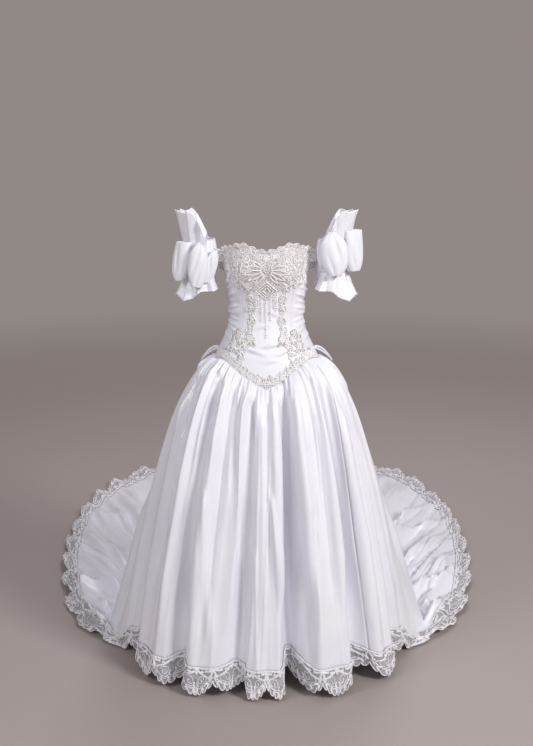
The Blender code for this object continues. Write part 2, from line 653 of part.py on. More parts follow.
def make_sleeve(label, side, satin, collection):
    def band(azimuth, share):
        height = BAND_BOTTOM + (BAND_TOP - BAND_BOTTOM) * share
        return arm_point(side, azimuth, band_radius(height), height)

    wall = SATIN_WALL
    lines = np.linspace(3, 363, 17)
    cloth(f"sleeve_band_{label}", band, lines, np.linspace(0, 1, 4), wall, satin, collection, side)

    def outward(azimuth):
        """0 where the frills start beside the body and 1 on the outer side of the arm."""
        return ease(68, 112, azimuth) * (1 - ease(248, 292, azimuth))

    def upper_frill(azimuth, share):
        height = UPPER_FRILL_BASE + (UPPER_FRILL_LOW + UPPER_FRILL_RISE * outward(azimuth)) * share
        pleats = 0.0045 * share * (1 + np.cos(2 * math.pi * (azimuth - 68) / UPPER_PLEAT))
        spread = UPPER_FRILL_SPREAD * flare(share, 1.8) * (0.4 + 0.6 * outward(azimuth))
        radius = band_radius(np.float64(UPPER_FRILL_BASE)) + FRILL_SEAT + spread + pleats
        return arm_point(side, azimuth, radius, height)

    lines, rows = np.linspace(68, 292, 29), np.linspace(0, 1, 3)
    cloth(f"sleeve_frill_upper_{label}", upper_frill, lines, rows, wall, satin, collection, side)

    def lower_frill(azimuth, share):
        drop = (LOWER_FRILL_LOW + LOWER_FRILL_DROP * outward(azimuth)) * share
        height = LOWER_FRILL_BASE - drop + 0.006 * share * np.cos(np.radians(azimuth * 5))
        pleats = 0.004 * share * (1 + np.cos(2 * math.pi * (azimuth - 40) / LOWER_PLEAT))
        spread = LOWER_FRILL_SPREAD * flare(share, 2.0)
        radius = band_radius(np.float64(LOWER_FRILL_SEAT_HEIGHT)) + FRILL_SEAT + spread + pleats
        return arm_point(side, azimuth, radius, height)

    lines = np.linspace(40, 320, 31)
    cloth(f"sleeve_frill_lower_{label}", lower_frill, lines, rows, wall, satin, collection, -side)

    for loop in BOW_LOOPS_LEFT if side > 0 else BOW_LOOPS_RIGHT:

        def petal(azimuth, share, loop=loop):
            """A ribbon loop, full in the middle and drawn in at both ends."""
            ends = loop.bottom_share + (loop.top_share - loop.bottom_share) * share
            full = ends + (1 - ends) * (1 - np.abs(2 * share - 1) ** 2.2)
            around = np.radians(azimuth)
            wide = loop.width / 2 * full * np.sin(around)
            thick = loop.depth / 2 * (0.45 + 0.55 * full) * np.cos(around)
            turn = math.radians(loop.turn)
            out = loop.bottom_out + (loop.top_out - loop.bottom_out) * share
            x = side * (out + wide * math.cos(turn) + thick * math.sin(turn))
            y = -loop.forward + wide * math.sin(turn) - thick * math.cos(turn)
            height = loop.bottom + (loop.top - loop.bottom) * share
            return np.stack([x, y, height + 0 * x], axis=-1)

        name = f"bow_loop_{loop.name}_{label}"
        lines, rows = np.linspace(180, 540, 13), np.linspace(0, 1, 6)
        cloth(name, petal, lines, rows, wall, satin, collection, side)

    for place, strap in (("front", STRAP_FRONT), ("back", STRAP_BACK)):

        def link(reach, down, strap=strap):
            """A short gathered link from the bodice to the sleeve band."""
            start_height = strap.top + (strap.bottom - strap.top) * down
            end_height = strap.arm_top + (strap.arm_bottom - strap.arm_top) * down
            start = bodice_surface(side * strap.azimuth + 0 * reach, start_height)
            end = arm_point(side, strap.arm_azimuth + 0 * reach, band_radius(end_height), end_height)
            away = (end - start) / np.linalg.norm(end - start, axis=-1, keepdims=True)
            start = start + away * strap.start_gap
            end = end - away * strap.end_gap
            point = start + (end - start) * reach[..., None]
            point[..., 1] += 0.0008 * np.cos(6 * math.pi * down) * np.sin(math.pi * reach)
            return point

        name = f"strap_{place}_{label}"
        lines, rows = np.linspace(0, 1, 5), np.linspace(0, 1, 7)
        cloth(name, link, lines, rows, LACE_WALL, satin, collection, gaps=(False, False))


def make_buttons(satin, collection):
    """Covered buttons down the centre back, flattened balls just clear of the cloth."""
    for number in range(len(BUTTON_SEATS)):
        height = BUTTON_TOP - number * BUTTON_PITCH
        at = bodice_surface(np.float64(BUTTON_AZIMUTH), np.float64(height))
        bm = bmesh.new()
        bmesh.ops.create_uvsphere(bm, u_segments=8, v_segments=4, radius=BUTTON_RADIUS)
        bmesh.ops.scale(bm, vec=Vector((1, 0.6, 1)), verts=bm.verts[:])
        place = Vector(at) + Vector((0, BUTTON_RADIUS * 0.6 + BUTTON_SEATS[number], 0))
        bmesh.ops.translate(bm, vec=place, verts=bm.verts[:])
        mesh = bpy.data.meshes.new(f"back_button_{number + 1}")
        bm.to_mesh(mesh)
        bm.free()
        finish_object(mesh.name, mesh, satin, collection)


# A narrow ribbon hanging loop sewn to each side at the hip, for the +X side
HANGER_ROUTE = [
    (0.1490, 0.000, -0.0950),
    (0.1620, 0.002, -0.0960),
    (0.1780, 0.006, -0.1060),
    (0.1930, 0.012, -0.1250),
    (0.2050, 0.022, -0.1440),
    (0.2060, 0.036, -0.1480),
    (0.1930, 0.047, -0.1340),
    (0.1720, 0.050, -0.1180),
    (0.1470, 0.0485, -0.1080),
]
RIBBON_WIDTH = 0.010
RIBBON_WALL = 0.0012


def make_hanging_loops(satin, collection):
    for label, side in (("left", 1), ("right", -1)):
        route = cut_corners(np.array(HANGER_ROUTE) * (side, 1, 1), rounds=2)

        def ribbon(share, across, route=route):
            places = np.linspace(0, 1, len(route))
            middle = np.stack([np.interp(share, places, route[:, axis]) for axis in range(3)], axis=-1)
            middle[..., 2] += RIBBON_WIDTH * (across - 0.5)
            return middle

        lines = np.linspace(0.004, 0.996, 17)
        cloth(f"hanging_loop_{label}", ribbon, lines, (0, 1), RIBBON_WALL, satin, collection)


def main():
    for old in list(bpy.data.objects):
        bpy.data.objects.remove(old)
    dress = bpy.data.collections.new("wedding_dress")
    bpy.context.scene.collection.children.link(dress)
    satin = material("satin", SATIN_COLOUR, 0.35)
    lace = material("lace", LACE_COLOUR, 0.7)
    beads = material("beaded_lace", BEAD_COLOUR, 0.4, 0.15)
    make_bodice(satin, dress)
    make_applique(beads, dress)
    make_skirt(satin, dress)
    make_lace(lace, dress)
    make_sleeve("left", 1, satin, dress)
    make_sleeve("right", -1, satin, dress)
    make_buttons(satin, dress)
    make_hanging_loops(satin, dress)


main()
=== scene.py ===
# %% [markdown]
# # A satin wedding dress with a beaded basque bodice
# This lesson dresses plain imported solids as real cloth: a skirt that runs out into a lace-edged train, a
# bodice with beadwork, and puffed bow sleeves. The solids stay in the file as a fixed frame, so every new
# piece is shaped from the same named sizes and lands exactly on its solid.

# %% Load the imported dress
import math
from collections import namedtuple

import bmesh
import bpy
import numpy as np
from mathutils import Matrix, Vector, noise


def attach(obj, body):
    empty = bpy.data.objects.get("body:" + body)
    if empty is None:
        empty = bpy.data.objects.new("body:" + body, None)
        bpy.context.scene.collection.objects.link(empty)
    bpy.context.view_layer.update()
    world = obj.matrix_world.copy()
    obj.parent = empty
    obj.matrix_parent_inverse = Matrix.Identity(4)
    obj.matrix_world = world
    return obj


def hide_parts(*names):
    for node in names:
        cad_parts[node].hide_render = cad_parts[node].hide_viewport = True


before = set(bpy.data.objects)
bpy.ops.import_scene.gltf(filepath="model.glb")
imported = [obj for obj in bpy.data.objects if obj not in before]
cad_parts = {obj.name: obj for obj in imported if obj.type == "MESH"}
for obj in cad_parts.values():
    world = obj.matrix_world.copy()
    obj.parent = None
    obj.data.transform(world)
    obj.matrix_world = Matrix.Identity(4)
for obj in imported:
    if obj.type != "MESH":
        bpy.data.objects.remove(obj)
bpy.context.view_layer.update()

# %% [markdown]
# The camera stands where the photographer stood: a little above the bust, three metres in front, tilted
# down. A long lens keeps the skirt's cone from bulging. It comes first, because every later choice is
# judged through it.

# %% Camera at the photographer's place
CAMERA_PLACE = (0.0, -3.0, 0.48)
CAMERA_TILT = 77.58
CAMERA_LENS = 47.72

camera_data = bpy.data.cameras.new("studio_camera")
camera_data.lens = CAMERA_LENS
camera = bpy.data.objects.new("studio_camera", camera_data)
camera.location = CAMERA_PLACE
camera.rotation_euler = (math.radians(CAMERA_TILT), 0, 0)
bpy.context.scene.collection.objects.link(camera)
bpy.context.scene.camera = camera
bpy.context.scene.view_settings.view_transform = "Standard"
print("camera", CAMERA_PLACE, "lens", CAMERA_LENS)

# %% [markdown]
# A studio floor is one plain surface that fades into the backdrop. Here it is a wide disc whose material
# turns into the backdrop's own tone far from the dress, so no line shows behind it from any side.

# %% Floor, backdrop tone and lights
WAIST_HEIGHT = 1.12
FLOOR = -WAIST_HEIGHT
BACKDROP_TONE = (0.285, 0.25, 0.242)
FLOOR_TONE = (0.36, 0.317, 0.307)


def new_look(name):
    """A material with nodes, its tree and its shader."""
    look = bpy.data.materials.new(name)
    look.use_nodes = True
    return look, look.node_tree, look.node_tree.nodes["Principled BSDF"]


def node_of(tree, kind, **settings):
    """A shader node with its settings and socket values; a key with a capital letter names a socket."""
    made = tree.nodes.new(kind)
    for key, value in settings.items():
        if key[0].isupper():
            made.inputs[key.replace("_", " ")].default_value = value
        else:
            setattr(made, key, value)
    return made


def wire(tree, *pairs):
    for source, target in pairs:
        tree.links.new(source, target)


bm = bmesh.new()
bmesh.ops.create_circle(bm, cap_ends=True, segments=96, radius=16.0)
bmesh.ops.translate(bm, vec=Vector((0, 0.6, FLOOR - 0.0006)), verts=bm.verts[:])
floor_mesh = bpy.data.meshes.new("studio_floor")
bm.to_mesh(floor_mesh)
bm.free()
floor = bpy.data.objects.new("studio_floor", floor_mesh)
bpy.context.scene.collection.objects.link(floor)

floor_look, tree, paint = new_look("studio_floor")
paint.inputs["Base Color"].default_value = (*FLOOR_TONE, 1)
paint.inputs["Roughness"].default_value = 0.75
place = node_of(tree, "ShaderNodeTexCoord")
distance = node_of(tree, "ShaderNodeVectorMath", operation="LENGTH")
fade = node_of(tree, "ShaderNodeMapRange", From_Min=2.6, From_Max=8.0, interpolation_type="SMOOTHSTEP")
tone = node_of(tree, "ShaderNodeEmission", Color=(*BACKDROP_TONE, 1))
mix = node_of(tree, "ShaderNodeMixShader")
wire(tree, (place.outputs["Object"], distance.inputs[0]), (distance.outputs["Value"], fade.inputs["Value"]))
wire(tree, (fade.outputs["Result"], mix.inputs[0]))
wire(tree, (paint.outputs[0], mix.inputs[1]))
wire(tree, (tone.outputs[0], mix.inputs[2]))
wire(tree, (mix.outputs[0], tree.nodes["Material Output"].inputs["Surface"]))
floor_mesh.materials.append(floor_look)

world = bpy.data.worlds.new("soft_studio")
bpy.context.scene.world = world
world.use_nodes = True
world.node_tree.nodes["Background"].inputs["Color"].default_value = (*BACKDROP_TONE, 1)

Lamp = namedtuple("Lamp", "name place aim size power tint")
LAMPS = [
    Lamp("key_right", (2.8, -2.6, 1.9), (0, 0, -0.3), 1.1, 140, (1.0, 0.99, 0.98)),
    Lamp("fill_left", (-3.0, -2.4, 2.0), (0, 0, 0.2), 1.8, 58, (0.94, 0.955, 1.0)),
    Lamp("front_low", (0.3, -4.6, 0.6), (0, 0, -0.2), 1.4, 24, (1.0, 0.99, 0.98)),
    Lamp("top_back", (0.6, 2.8, 3.0), (0, 0.7, -0.9), 1.6, 60, (0.93, 0.95, 1.0)),
]
for lamp in LAMPS:
    data = bpy.data.lights.new(lamp.name, "AREA")
    data.size = lamp.size
    data.energy = lamp.power
    data.color = lamp.tint
    light = bpy.data.objects.new(lamp.name, data)
    light.location = lamp.place
    light.rotation_euler = (Vector(lamp.place) - Vector(lamp.aim)).to_track_quat("Z", "Y").to_euler()
    bpy.context.scene.collection.objects.link(light)
print("floor at", FLOOR, "with", len(LAMPS), "soft lights")

# %% [markdown]
# A dressmaker's pattern is a set of curves, and so is this one. The tables below say where the bodice's
# sections, its neckline and its pointed waist lie, and smooth curves run through them. The bodice is read
# by azimuth, 0 at the centre front and growing towards the wearer's left, and by height over the waist.

# %% Curves through the sizes
Section = namedtuple("Section", "height half_width front back")
BODICE_SECTIONS = [
    Section(-0.220, 0.185, 0.128, 0.125),
    Section(-0.165, 0.172, 0.120, 0.118),
    Section(-0.130, 0.162, 0.113, 0.112),
    Section(-0.105, 0.151, 0.107, 0.104),
    Section(-0.070, 0.134, 0.098, 0.092),
    Section(-0.030, 0.1185, 0.089, 0.080),
    Section(0.000, 0.1145, 0.085, 0.074),
    Section(0.050, 0.118, 0.088, 0.078),
    Section(0.100, 0.123, 0.096, 0.086),
    Section(0.145, 0.1275, 0.104, 0.092),
    Section(0.190, 0.133, 0.103, 0.094),
    Section(0.240, 0.139, 0.098, 0.092),
]
Edge = namedtuple("Edge", "azimuth neckline waist_seam")
BODICE_EDGES = [
    Edge(0, 0.205, -0.203),
    Edge(14, 0.213, -0.180),
    Edge(31, 0.226, -0.150),
    Edge(50, 0.217, -0.126),
    Edge(70, 0.211, -0.124),
    Edge(84, 0.200, -0.126),
    Edge(100, 0.172, -0.126),
    Edge(125, 0.166, -0.120),
    Edge(155, 0.168, -0.119),
    Edge(180, 0.170, -0.122),
]
FRONT_SEAM = 40.0
BACK_SEAM = 98.0
CUP_AZIMUTH, CUP_HEIGHT, CUP_RISE = 30.0, 0.130, 0.016
CUP_SPREAD_AZIMUTH, CUP_SPREAD_HEIGHT = 19.0, 0.042
YOKE_SCALLOP = 0.004


def from_table(rows, column, places):
    """A smooth curve through one column of a table, read at places along its first column."""
    at = np.array([row[0] for row in rows], float)
    value = np.array([getattr(row, column) for row in rows], float)
    slope = np.gradient(value, at)
    places = np.clip(places, at[0], at[-1])
    low = np.clip(np.searchsorted(at, places, side="right") - 1, 0, len(at) - 2)
    width = at[low + 1] - at[low]
    t = (places - at[low]) / width
    return (
        (2 * t**3 - 3 * t**2 + 1) * value[low]
        + (t**3 - 2 * t**2 + t) * width * slope[low]
        + (3 * t**2 - 2 * t**3) * value[low + 1]
        + (t**3 - t**2) * width * slope[low + 1]
    )


def ease(low, high, x):
    t = np.clip((x - low) / (high - low), 0.0, 1.0)
    return t * t * (3 - 2 * t)


def mound(x):
    return np.where(np.abs(x) < 1, np.cos(np.clip(x, -1, 1) * math.pi / 2) ** 2, 0.0)


def around_of(azimuth):
    return np.abs((azimuth + 180.0) % 360.0 - 180.0)


def bodice_edge(which, azimuth):
    return from_table(BODICE_EDGES, which, around_of(azimuth))


def bodice_surface(azimuth, height, rise=0.0):
    """Points on the bodice, rise metres off its plain form."""
    turn = np.radians(azimuth)
    around = around_of(azimuth)
    beside = (around - CUP_AZIMUTH) / CUP_SPREAD_AZIMUTH
    above = (height - CUP_HEIGHT) / CUP_SPREAD_HEIGHT
    cup = CUP_RISE * np.exp(-(beside**2) - above**2)
    out = cup + rise
    half_width = from_table(BODICE_SECTIONS, "half_width", height) + out
    depth = np.where(
        np.cos(turn) > 0,
        from_table(BODICE_SECTIONS, "front", height),
        from_table(BODICE_SECTIONS, "back", height),
    )
    x = half_width * np.sin(turn)
    return np.stack([x, -(depth + out) * np.cos(turn), height + 0 * x], axis=-1)


half_waist = float(from_table(BODICE_SECTIONS, "half_width", 0.0))
print("waist", round(half_waist, 4), "m from the middle to the side")

# %% [markdown]
# The skirt is read in columns round the hem, 72 in front and 84 in the train, and by reach down the cloth:
# 0 at the waist, 1 at the satin's edge, 2 at the lace's tips. Each column is a path that falls from the
# waist to the floor and then, at the back, runs out along it. Large folds are troughs that draw the path
# in.

# %% The skirt's paths
FRONT_COLUMNS, TRAIN_COLUMNS = 72, 84
ALL_COLUMNS = FRONT_COLUMNS + TRAIN_COLUMNS
CENTRE_BACK = FRONT_COLUMNS + TRAIN_COLUMNS // 2
FRONT_AZIMUTH = 88.0
LACE_DEPTH = 0.085
HEM_CLEARANCE = 0.006
SATIN_WALL = 0.002
FALL_SHARES = (0.0, 0.03, 0.07, 0.13, 0.2, 0.3, 0.42, 0.56, 0.7, 0.85, 1.0)
FLOOR_SHARES = (0.12, 0.3, 0.5, 0.7, 0.87, 1.0)
FRONT_FALL_POWER, BACK_FALL_POWER = 0.55, 0.78
LANDING_ROW_DROP = 0.5
HEM_LIFT = 0.42
TrainEdge = namedtuple("TrainEdge", "share out back")
TRAIN_EDGE = [
    TrainEdge(0.0, 0.450, -0.016),
    TrainEdge(0.060, 0.575, 0.080),
    TrainEdge(0.145, 0.700, 0.250),
    TrainEdge(0.215, 0.760, 0.440),
    TrainEdge(0.320, 0.818, 0.720),
    TrainEdge(0.455, 0.848, 1.080),
    TrainEdge(0.575, 0.830, 1.420),
    TrainEdge(0.680, 0.755, 1.700),
    TrainEdge(0.775, 0.620, 1.930),
    TrainEdge(0.885, 0.330, 2.110),
    TrainEdge(1.0, 0.0, 2.170),
]
Landing = namedtuple("Landing", "share azimuth radius")
LANDING = [
    Landing(0.0, 88, 0.450),
    Landing(0.060, 95, 0.500),
    Landing(0.145, 104, 0.560),
    Landing(0.250, 116, 0.600),
    Landing(0.400, 131, 0.630),
    Landing(0.600, 147, 0.650),
    Landing(0.800, 163, 0.660),
    Landing(1.0, 180, 0.660),
]
HemRadius = namedtuple("HemRadius", "azimuth radius")
FRONT_HEM = [
    HemRadius(0, 0.312),
    HemRadius(25, 0.335),
    HemRadius(50, 0.392),
    HemRadius(70, 0.420),
    HemRadius(88, 0.450),
    HemRadius(100, 0.470),
]
Trough = namedtuple("Trough", "column half_width depth start")
TROUGHS = [
    Trough(3.3, 3.2, 0.058, 0.10),
    Trough(16.8, 3.2, 0.052, 0.42),
    Trough(27.8, 5.0, 0.036, 0.03),
    Trough(43.0, 4.4, 0.085, 0.0),
    Trough(57.3, 4.2, 0.080, 0.05),
    Trough(68.7, 2.8, 0.052, 0.15),
    Trough(77.2, 3.8, 0.050, 0.08),
    Trough(86.2, 4.5, 0.055, 0.02),
    Trough(96.0, 4.9, 0.060, 0.05),
    Trough(105.8, 4.5, 0.055, 0.0),
    Trough(114.8, 4.5, 0.060, 0.04),
    Trough(124.1, 4.9, 0.055, 0.02),
    Trough(133.5, 4.5, 0.060, 0.0),
    Trough(142.5, 4.5, 0.055, 0.06),
    Trough(151.1, 3.4, 0.050, 0.10),
]


def across(column, centre):
    """Columns from a centre, the short way round."""
    return (column - centre + ALL_COLUMNS / 2) % ALL_COLUMNS - ALL_COLUMNS / 2


def train_share(column):
    return 1 - np.abs(column - CENTRE_BACK) / (TRAIN_COLUMNS / 2)


def waist_azimuth(column):
    front = -FRONT_AZIMUTH + 2 * FRONT_AZIMUTH * column / FRONT_COLUMNS
    back = FRONT_AZIMUTH + (360 - 2 * FRONT_AZIMUTH) * (column - FRONT_COLUMNS) / TRAIN_COLUMNS
    return np.where(column <= FRONT_COLUMNS, front, back)


def fold_depth(column, drop):
    """How far the large folds draw the cloth in. On the floor they ease out."""
    total = np.zeros(np.broadcast(column, drop).shape)
    for trough in TROUGHS:
        grow = ease(trough.start - 0.1, trough.start + 0.6, drop) ** 0.8
        if trough.column > FRONT_COLUMNS:
            grow = grow * (1 - 0.75 * ease(0.72, 1.0, drop))
        total = total + trough.depth * mound(across(column, trough.column) / trough.half_width) * grow
    return total


def skirt_controls(column):
    """The points that each column's path is drawn from: down the fall, then out along the floor."""
    column = np.asarray(column, float) % ALL_COLUMNS
    azimuth = waist_azimuth(column)
    waist = bodice_surface(azimuth, bodice_edge("waist_seam", azimuth) - 0.0005)
    on_front = column <= FRONT_COLUMNS
    share = np.clip(train_share(column), 0.0, 1.0)
    around = np.where(on_front, np.abs(azimuth), from_table(LANDING, "azimuth", share))
    radius = np.where(on_front, from_table(FRONT_HEM, "radius", around), from_table(LANDING, "radius", share))
    side = np.where(on_front, np.sign(azimuth), np.where(column < CENTRE_BACK, 1.0, -1.0))
    turn = np.radians(around)
    land = np.stack([side * radius * np.sin(turn), -radius * np.cos(turn)], axis=-1)
    hem = fold_depth(column, np.float64(1.0))
    settle = HEM_CLEARANCE + (SATIN_WALL + 0.001 - HEM_CLEARANCE) * ease(0.0, 0.12, share)
    lift = np.where(on_front, HEM_CLEARANCE + HEM_LIFT * hem, settle)
    behind = ease(0.0, 0.25, np.where(on_front, 0.0, share))
    power = FRONT_FALL_POWER + (BACK_FALL_POWER - FRONT_FALL_POWER) * behind
    points = []
    for drop in FALL_SHARES:
        flat = waist[..., :2] + (land - waist[..., :2]) * (drop**power)[..., None]
        flat = flat * (1 - fold_depth(column, np.float64(drop)) / np.linalg.norm(flat, axis=-1))[..., None]
        height = waist[..., 2] + (FLOOR + lift - waist[..., 2]) * drop
        points.append(np.concatenate([flat, height[..., None]], axis=-1))
    out, back = from_table(TRAIN_EDGE, "out", share), from_table(TRAIN_EDGE, "back", share)
    edge = np.stack([side * out, back], axis=-1)
    start = points[-1]
    spread = np.where(on_front, 0.0, ease(0.0, 0.03, share))[..., None]
    edge = start[..., :2] + (edge - start[..., :2]) * spread
    for share_out in FLOOR_SHARES:
        flat = start[..., :2] + (edge - start[..., :2]) * share_out
        points.append(np.concatenate([flat, start[..., 2:]], axis=-1))
    return np.stack(points, axis=-2)


def cut_corners(points, rounds=3):
    """Rounds a chain of points off by cutting each corner, keeping both ends."""
    for _ in range(rounds):
        near = 0.75 * points[..., :-1, :] + 0.25 * points[..., 1:, :]
        far = 0.25 * points[..., :-1, :] + 0.75 * points[..., 1:, :]
        between = np.stack([near, far], axis=-2).reshape(*points.shape[:-2], -1, points.shape[-1])
        points = np.concatenate([points[..., :1, :], between, points[..., -1:, :]], axis=-2)
    return points


def skirt_points(columns, reaches):
    """Points at every column and reach. reaches is one row for all columns, or a row for each.

    Returned with each point's share of the way from the landing line to the edge, 0 up on the fall.
    """
    columns = np.asarray(columns, float)
    reaches = np.broadcast_to(np.asarray(reaches, float), (len(columns), np.shape(reaches)[-1]))
    controls = skirt_controls(columns)
    number = np.broadcast_to(np.arange(controls.shape[1], dtype=float)[:, None], (*controls.shape[:2], 1))
    paths = cut_corners(np.concatenate([controls, number], axis=-1))
    steps = np.linalg.norm(np.diff(paths[..., :3], axis=1), axis=-1)
    along = np.concatenate([np.zeros((len(columns), 1)), np.cumsum(steps, axis=1)], axis=1)
    placed = columns % ALL_COLUMNS
    share = np.where(placed < FRONT_COLUMNS, 0.0, train_share(placed))
    turn = 1 - LANDING_ROW_DROP * ease(0.0, 0.7, share)
    result, floor_share = np.empty((*reaches.shape, 3)), np.zeros(reaches.shape)
    for i, line in enumerate(along):
        satin = line[-1] - LACE_DEPTH
        landing = min(np.interp(len(FALL_SHARES) - 1, paths[i, :, 3], line), satin)
        at = (0.0, turn[i], 1.0 + 1e-9, 2.0)
        turning = landing * min(turn[i] * satin / landing, 1.0)
        wanted = np.interp(reaches[i], at, (0.0, turning, satin, line[-1]))
        for axis in range(3):
            result[i, :, axis] = np.interp(wanted, line, paths[i, :, axis])
        if share[i] > 0:
            floor_share[i] = np.clip((wanted - landing) / max(line[-1] - landing, 1e-6), 0, 1)
    return result, floor_share


centre_front, _ = skirt_points([FRONT_COLUMNS / 2], [1.0])
print("skirt path at the centre front:", round(float(centre_front[0, 0, 2]), 3), "m at the satin's edge")

# %% [markdown]
# Every cloth piece starts as one flat grid, and each crossing is put on the piece's own form. The grid
# keeps a UV map along its weave, so a pattern follows the cloth. A Solidify modifier then gives it the
# thickness of satin.

# %% A grid of cloth
def normals_of(points, inside):
    """Unit normals of a grid of points, pointing away from a point inside the dress."""
    along = np.gradient(points, axis=0)
    down = np.gradient(points, axis=1)
    normal = np.cross(along, down)
    normal /= np.maximum(np.linalg.norm(normal, axis=-1, keepdims=True), 1e-12)
    outwards = ((points - np.asarray(inside)) * normal).sum() >= 0
    return normal if outwards else -normal


def cloth(name, points, look, inside, wall=0.0012, uv=None, attributes=None):
    """A cloth piece from a grid of points (columns, rows, 3)."""
    columns, rows = points.shape[0] - 1, points.shape[1] - 1
    bm = bmesh.new()
    bmesh.ops.create_grid(bm, x_segments=columns, y_segments=rows, size=0.5)
    mesh = bpy.data.meshes.new(name)
    bm.to_mesh(mesh)
    bm.free()
    flat = np.empty(len(mesh.vertices) * 3)
    mesh.vertices.foreach_get("co", flat)
    i = np.rint((flat[0::3] + 0.5) * columns).astype(int)
    j = np.rint((flat[1::3] + 0.5) * rows).astype(int)
    mesh.vertices.foreach_set("co", points[i, j].ravel())
    mesh.update()
    if uv is None:
        lengths = np.linalg.norm(np.diff(points, axis=0), axis=-1).mean(axis=1)
        drops = np.linalg.norm(np.diff(points, axis=1), axis=-1).mean(axis=0)
        u = np.concatenate([[0], np.cumsum(lengths)])
        v = np.concatenate([[0], np.cumsum(drops)])
        uv = np.stack(np.meshgrid(u, v, indexing="ij"), axis=-1)
    layer = mesh.uv_layers.new(name="UVMap")
    corner = np.empty(len(mesh.loops), np.int32)
    mesh.loops.foreach_get("vertex_index", corner)
    layer.data.foreach_set("uv", uv[i[corner], j[corner]].astype(np.float32).ravel())
    for label, values in (attributes or {}).items():
        layer = mesh.attributes.new(label, "FLOAT", "POINT")
        layer.data.foreach_set("value", values[i, j].astype(np.float32))
    faces = np.empty(len(mesh.polygons) * 3)
    centres = np.empty(len(mesh.polygons) * 3)
    mesh.polygons.foreach_get("normal", faces)
    mesh.polygons.foreach_get("center", centres)
    if ((centres.reshape(-1, 3) - np.asarray(inside)) * faces.reshape(-1, 3)).sum() < 0:
        mesh.flip_normals()
    mesh.shade_smooth()
    return keep(name, mesh, look, wall)


def keep(name, mesh, look, wall=0.0):
    """Links a piece, gives it its finish and lets it ride on the dress."""
    piece = bpy.data.objects.new(name, mesh)
    mesh.materials.append(look)
    bpy.context.scene.collection.objects.link(piece)
    if wall:
        thick = piece.modifiers.new("thickness", "SOLIDIFY")
        thick.thickness = wall
        thick.offset = -1
    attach(piece, "root")
    return piece


def fine(start, end, each):
    """Lines between two columns, so many to each."""
    return np.linspace(start, end, round((end - start) * each) + 1)


# %% [markdown]
# Satin is a weave of long floating threads, so it is smooth and bright along the folds and lavender-grey in
# them. Its material is nearly white with a soft gloss, fine thread lines, faint slubs down the length and
# small creases from storing. Threads and slubs read the cloth's own UV map, which is in metres. Tone and
# small creases read the object's coordinates, so they run on across the seams.

# %% Satin
def satin_look(name, colour, rough, crease):
    look, tree, shader = new_look(name)
    shader.inputs["Sheen Weight"].default_value = 0.10
    shader.inputs["Sheen Roughness"].default_value = 0.4
    shader.inputs["Specular IOR Level"].default_value = 0.85
    shader.inputs["Coat Weight"].default_value = 0.22
    shader.inputs["Coat Roughness"].default_value = 0.22
    uv = node_of(tree, "ShaderNodeUVMap", uv_map="UVMap")
    stretch = node_of(tree, "ShaderNodeMapping", Scale=(160.0, 9.0, 1.0))
    slub = node_of(tree, "ShaderNodeTexNoise", Scale=1.0, Detail=3.0)
    place = node_of(tree, "ShaderNodeTexCoord")
    cloud = node_of(tree, "ShaderNodeTexNoise", Scale=7.0, Detail=4.0)
    shades = node_of(tree, "ShaderNodeValToRGB")
    shades.color_ramp.elements[0].position = 0.35
    shades.color_ramp.elements[0].color = (colour[0] * 0.955, colour[1] * 0.95, colour[2] * 0.975, 1)
    shades.color_ramp.elements[1].position = 0.65
    shades.color_ramp.elements[1].color = (*colour, 1)
    gloss = node_of(tree, "ShaderNodeMapRange", To_Min=rough - 0.05, To_Max=rough + 0.06)
    thread = node_of(tree, "ShaderNodeTexWave", Scale=480.0, Distortion=0.6, bands_direction="X")
    crumple = node_of(tree, "ShaderNodeTexNoise", Scale=26.0, Detail=5.0, Roughness=0.55, Distortion=0.4)
    add = node_of(tree, "ShaderNodeMath", operation="MULTIPLY_ADD")
    add.inputs[1].default_value = 0.06
    soft = node_of(tree, "ShaderNodeMath", operation="MULTIPLY_ADD")
    soft.inputs[1].default_value = 0.35
    bump = node_of(tree, "ShaderNodeBump", Strength=crease, Distance=0.004)
    wire(tree, (uv.outputs[0], stretch.inputs["Vector"]), (stretch.outputs[0], slub.inputs["Vector"]))
    wire(tree, (place.outputs["Object"], cloud.inputs["Vector"]))
    wire(tree, (cloud.outputs["Fac"], shades.inputs["Fac"]))
    wire(tree, (shades.outputs["Color"], shader.inputs["Base Color"]))
    wire(tree, (slub.outputs["Fac"], gloss.inputs["Value"]))
    wire(tree, (gloss.outputs["Result"], shader.inputs["Roughness"]))
    wire(tree, (uv.outputs[0], thread.inputs["Vector"]))
    wire(tree, (place.outputs["Object"], crumple.inputs["Vector"]), (thread.outputs["Fac"], add.inputs[0]))
    wire(tree, (slub.outputs["Fac"], soft.inputs[0]), (crumple.outputs["Fac"], soft.inputs[2]))
    wire(tree, (soft.outputs[0], add.inputs[2]), (add.outputs[0], bump.inputs["Height"]))
    wire(tree, (bump.outputs["Normal"], shader.inputs["Normal"]))
    return look


SATIN = satin_look("bridal_satin", (0.835, 0.84, 0.90), 0.31, 0.30)
print("finish:", SATIN.name)

# %% [markdown]
# The skirt's five gores get the folds that the plain solids leave out. A fold is a row in a table: the
# column where it leaves the waist, the column where it ends, how far down it runs, its width and its
# height. Ridges are narrow and troughs are wide, as gathered satin falls.

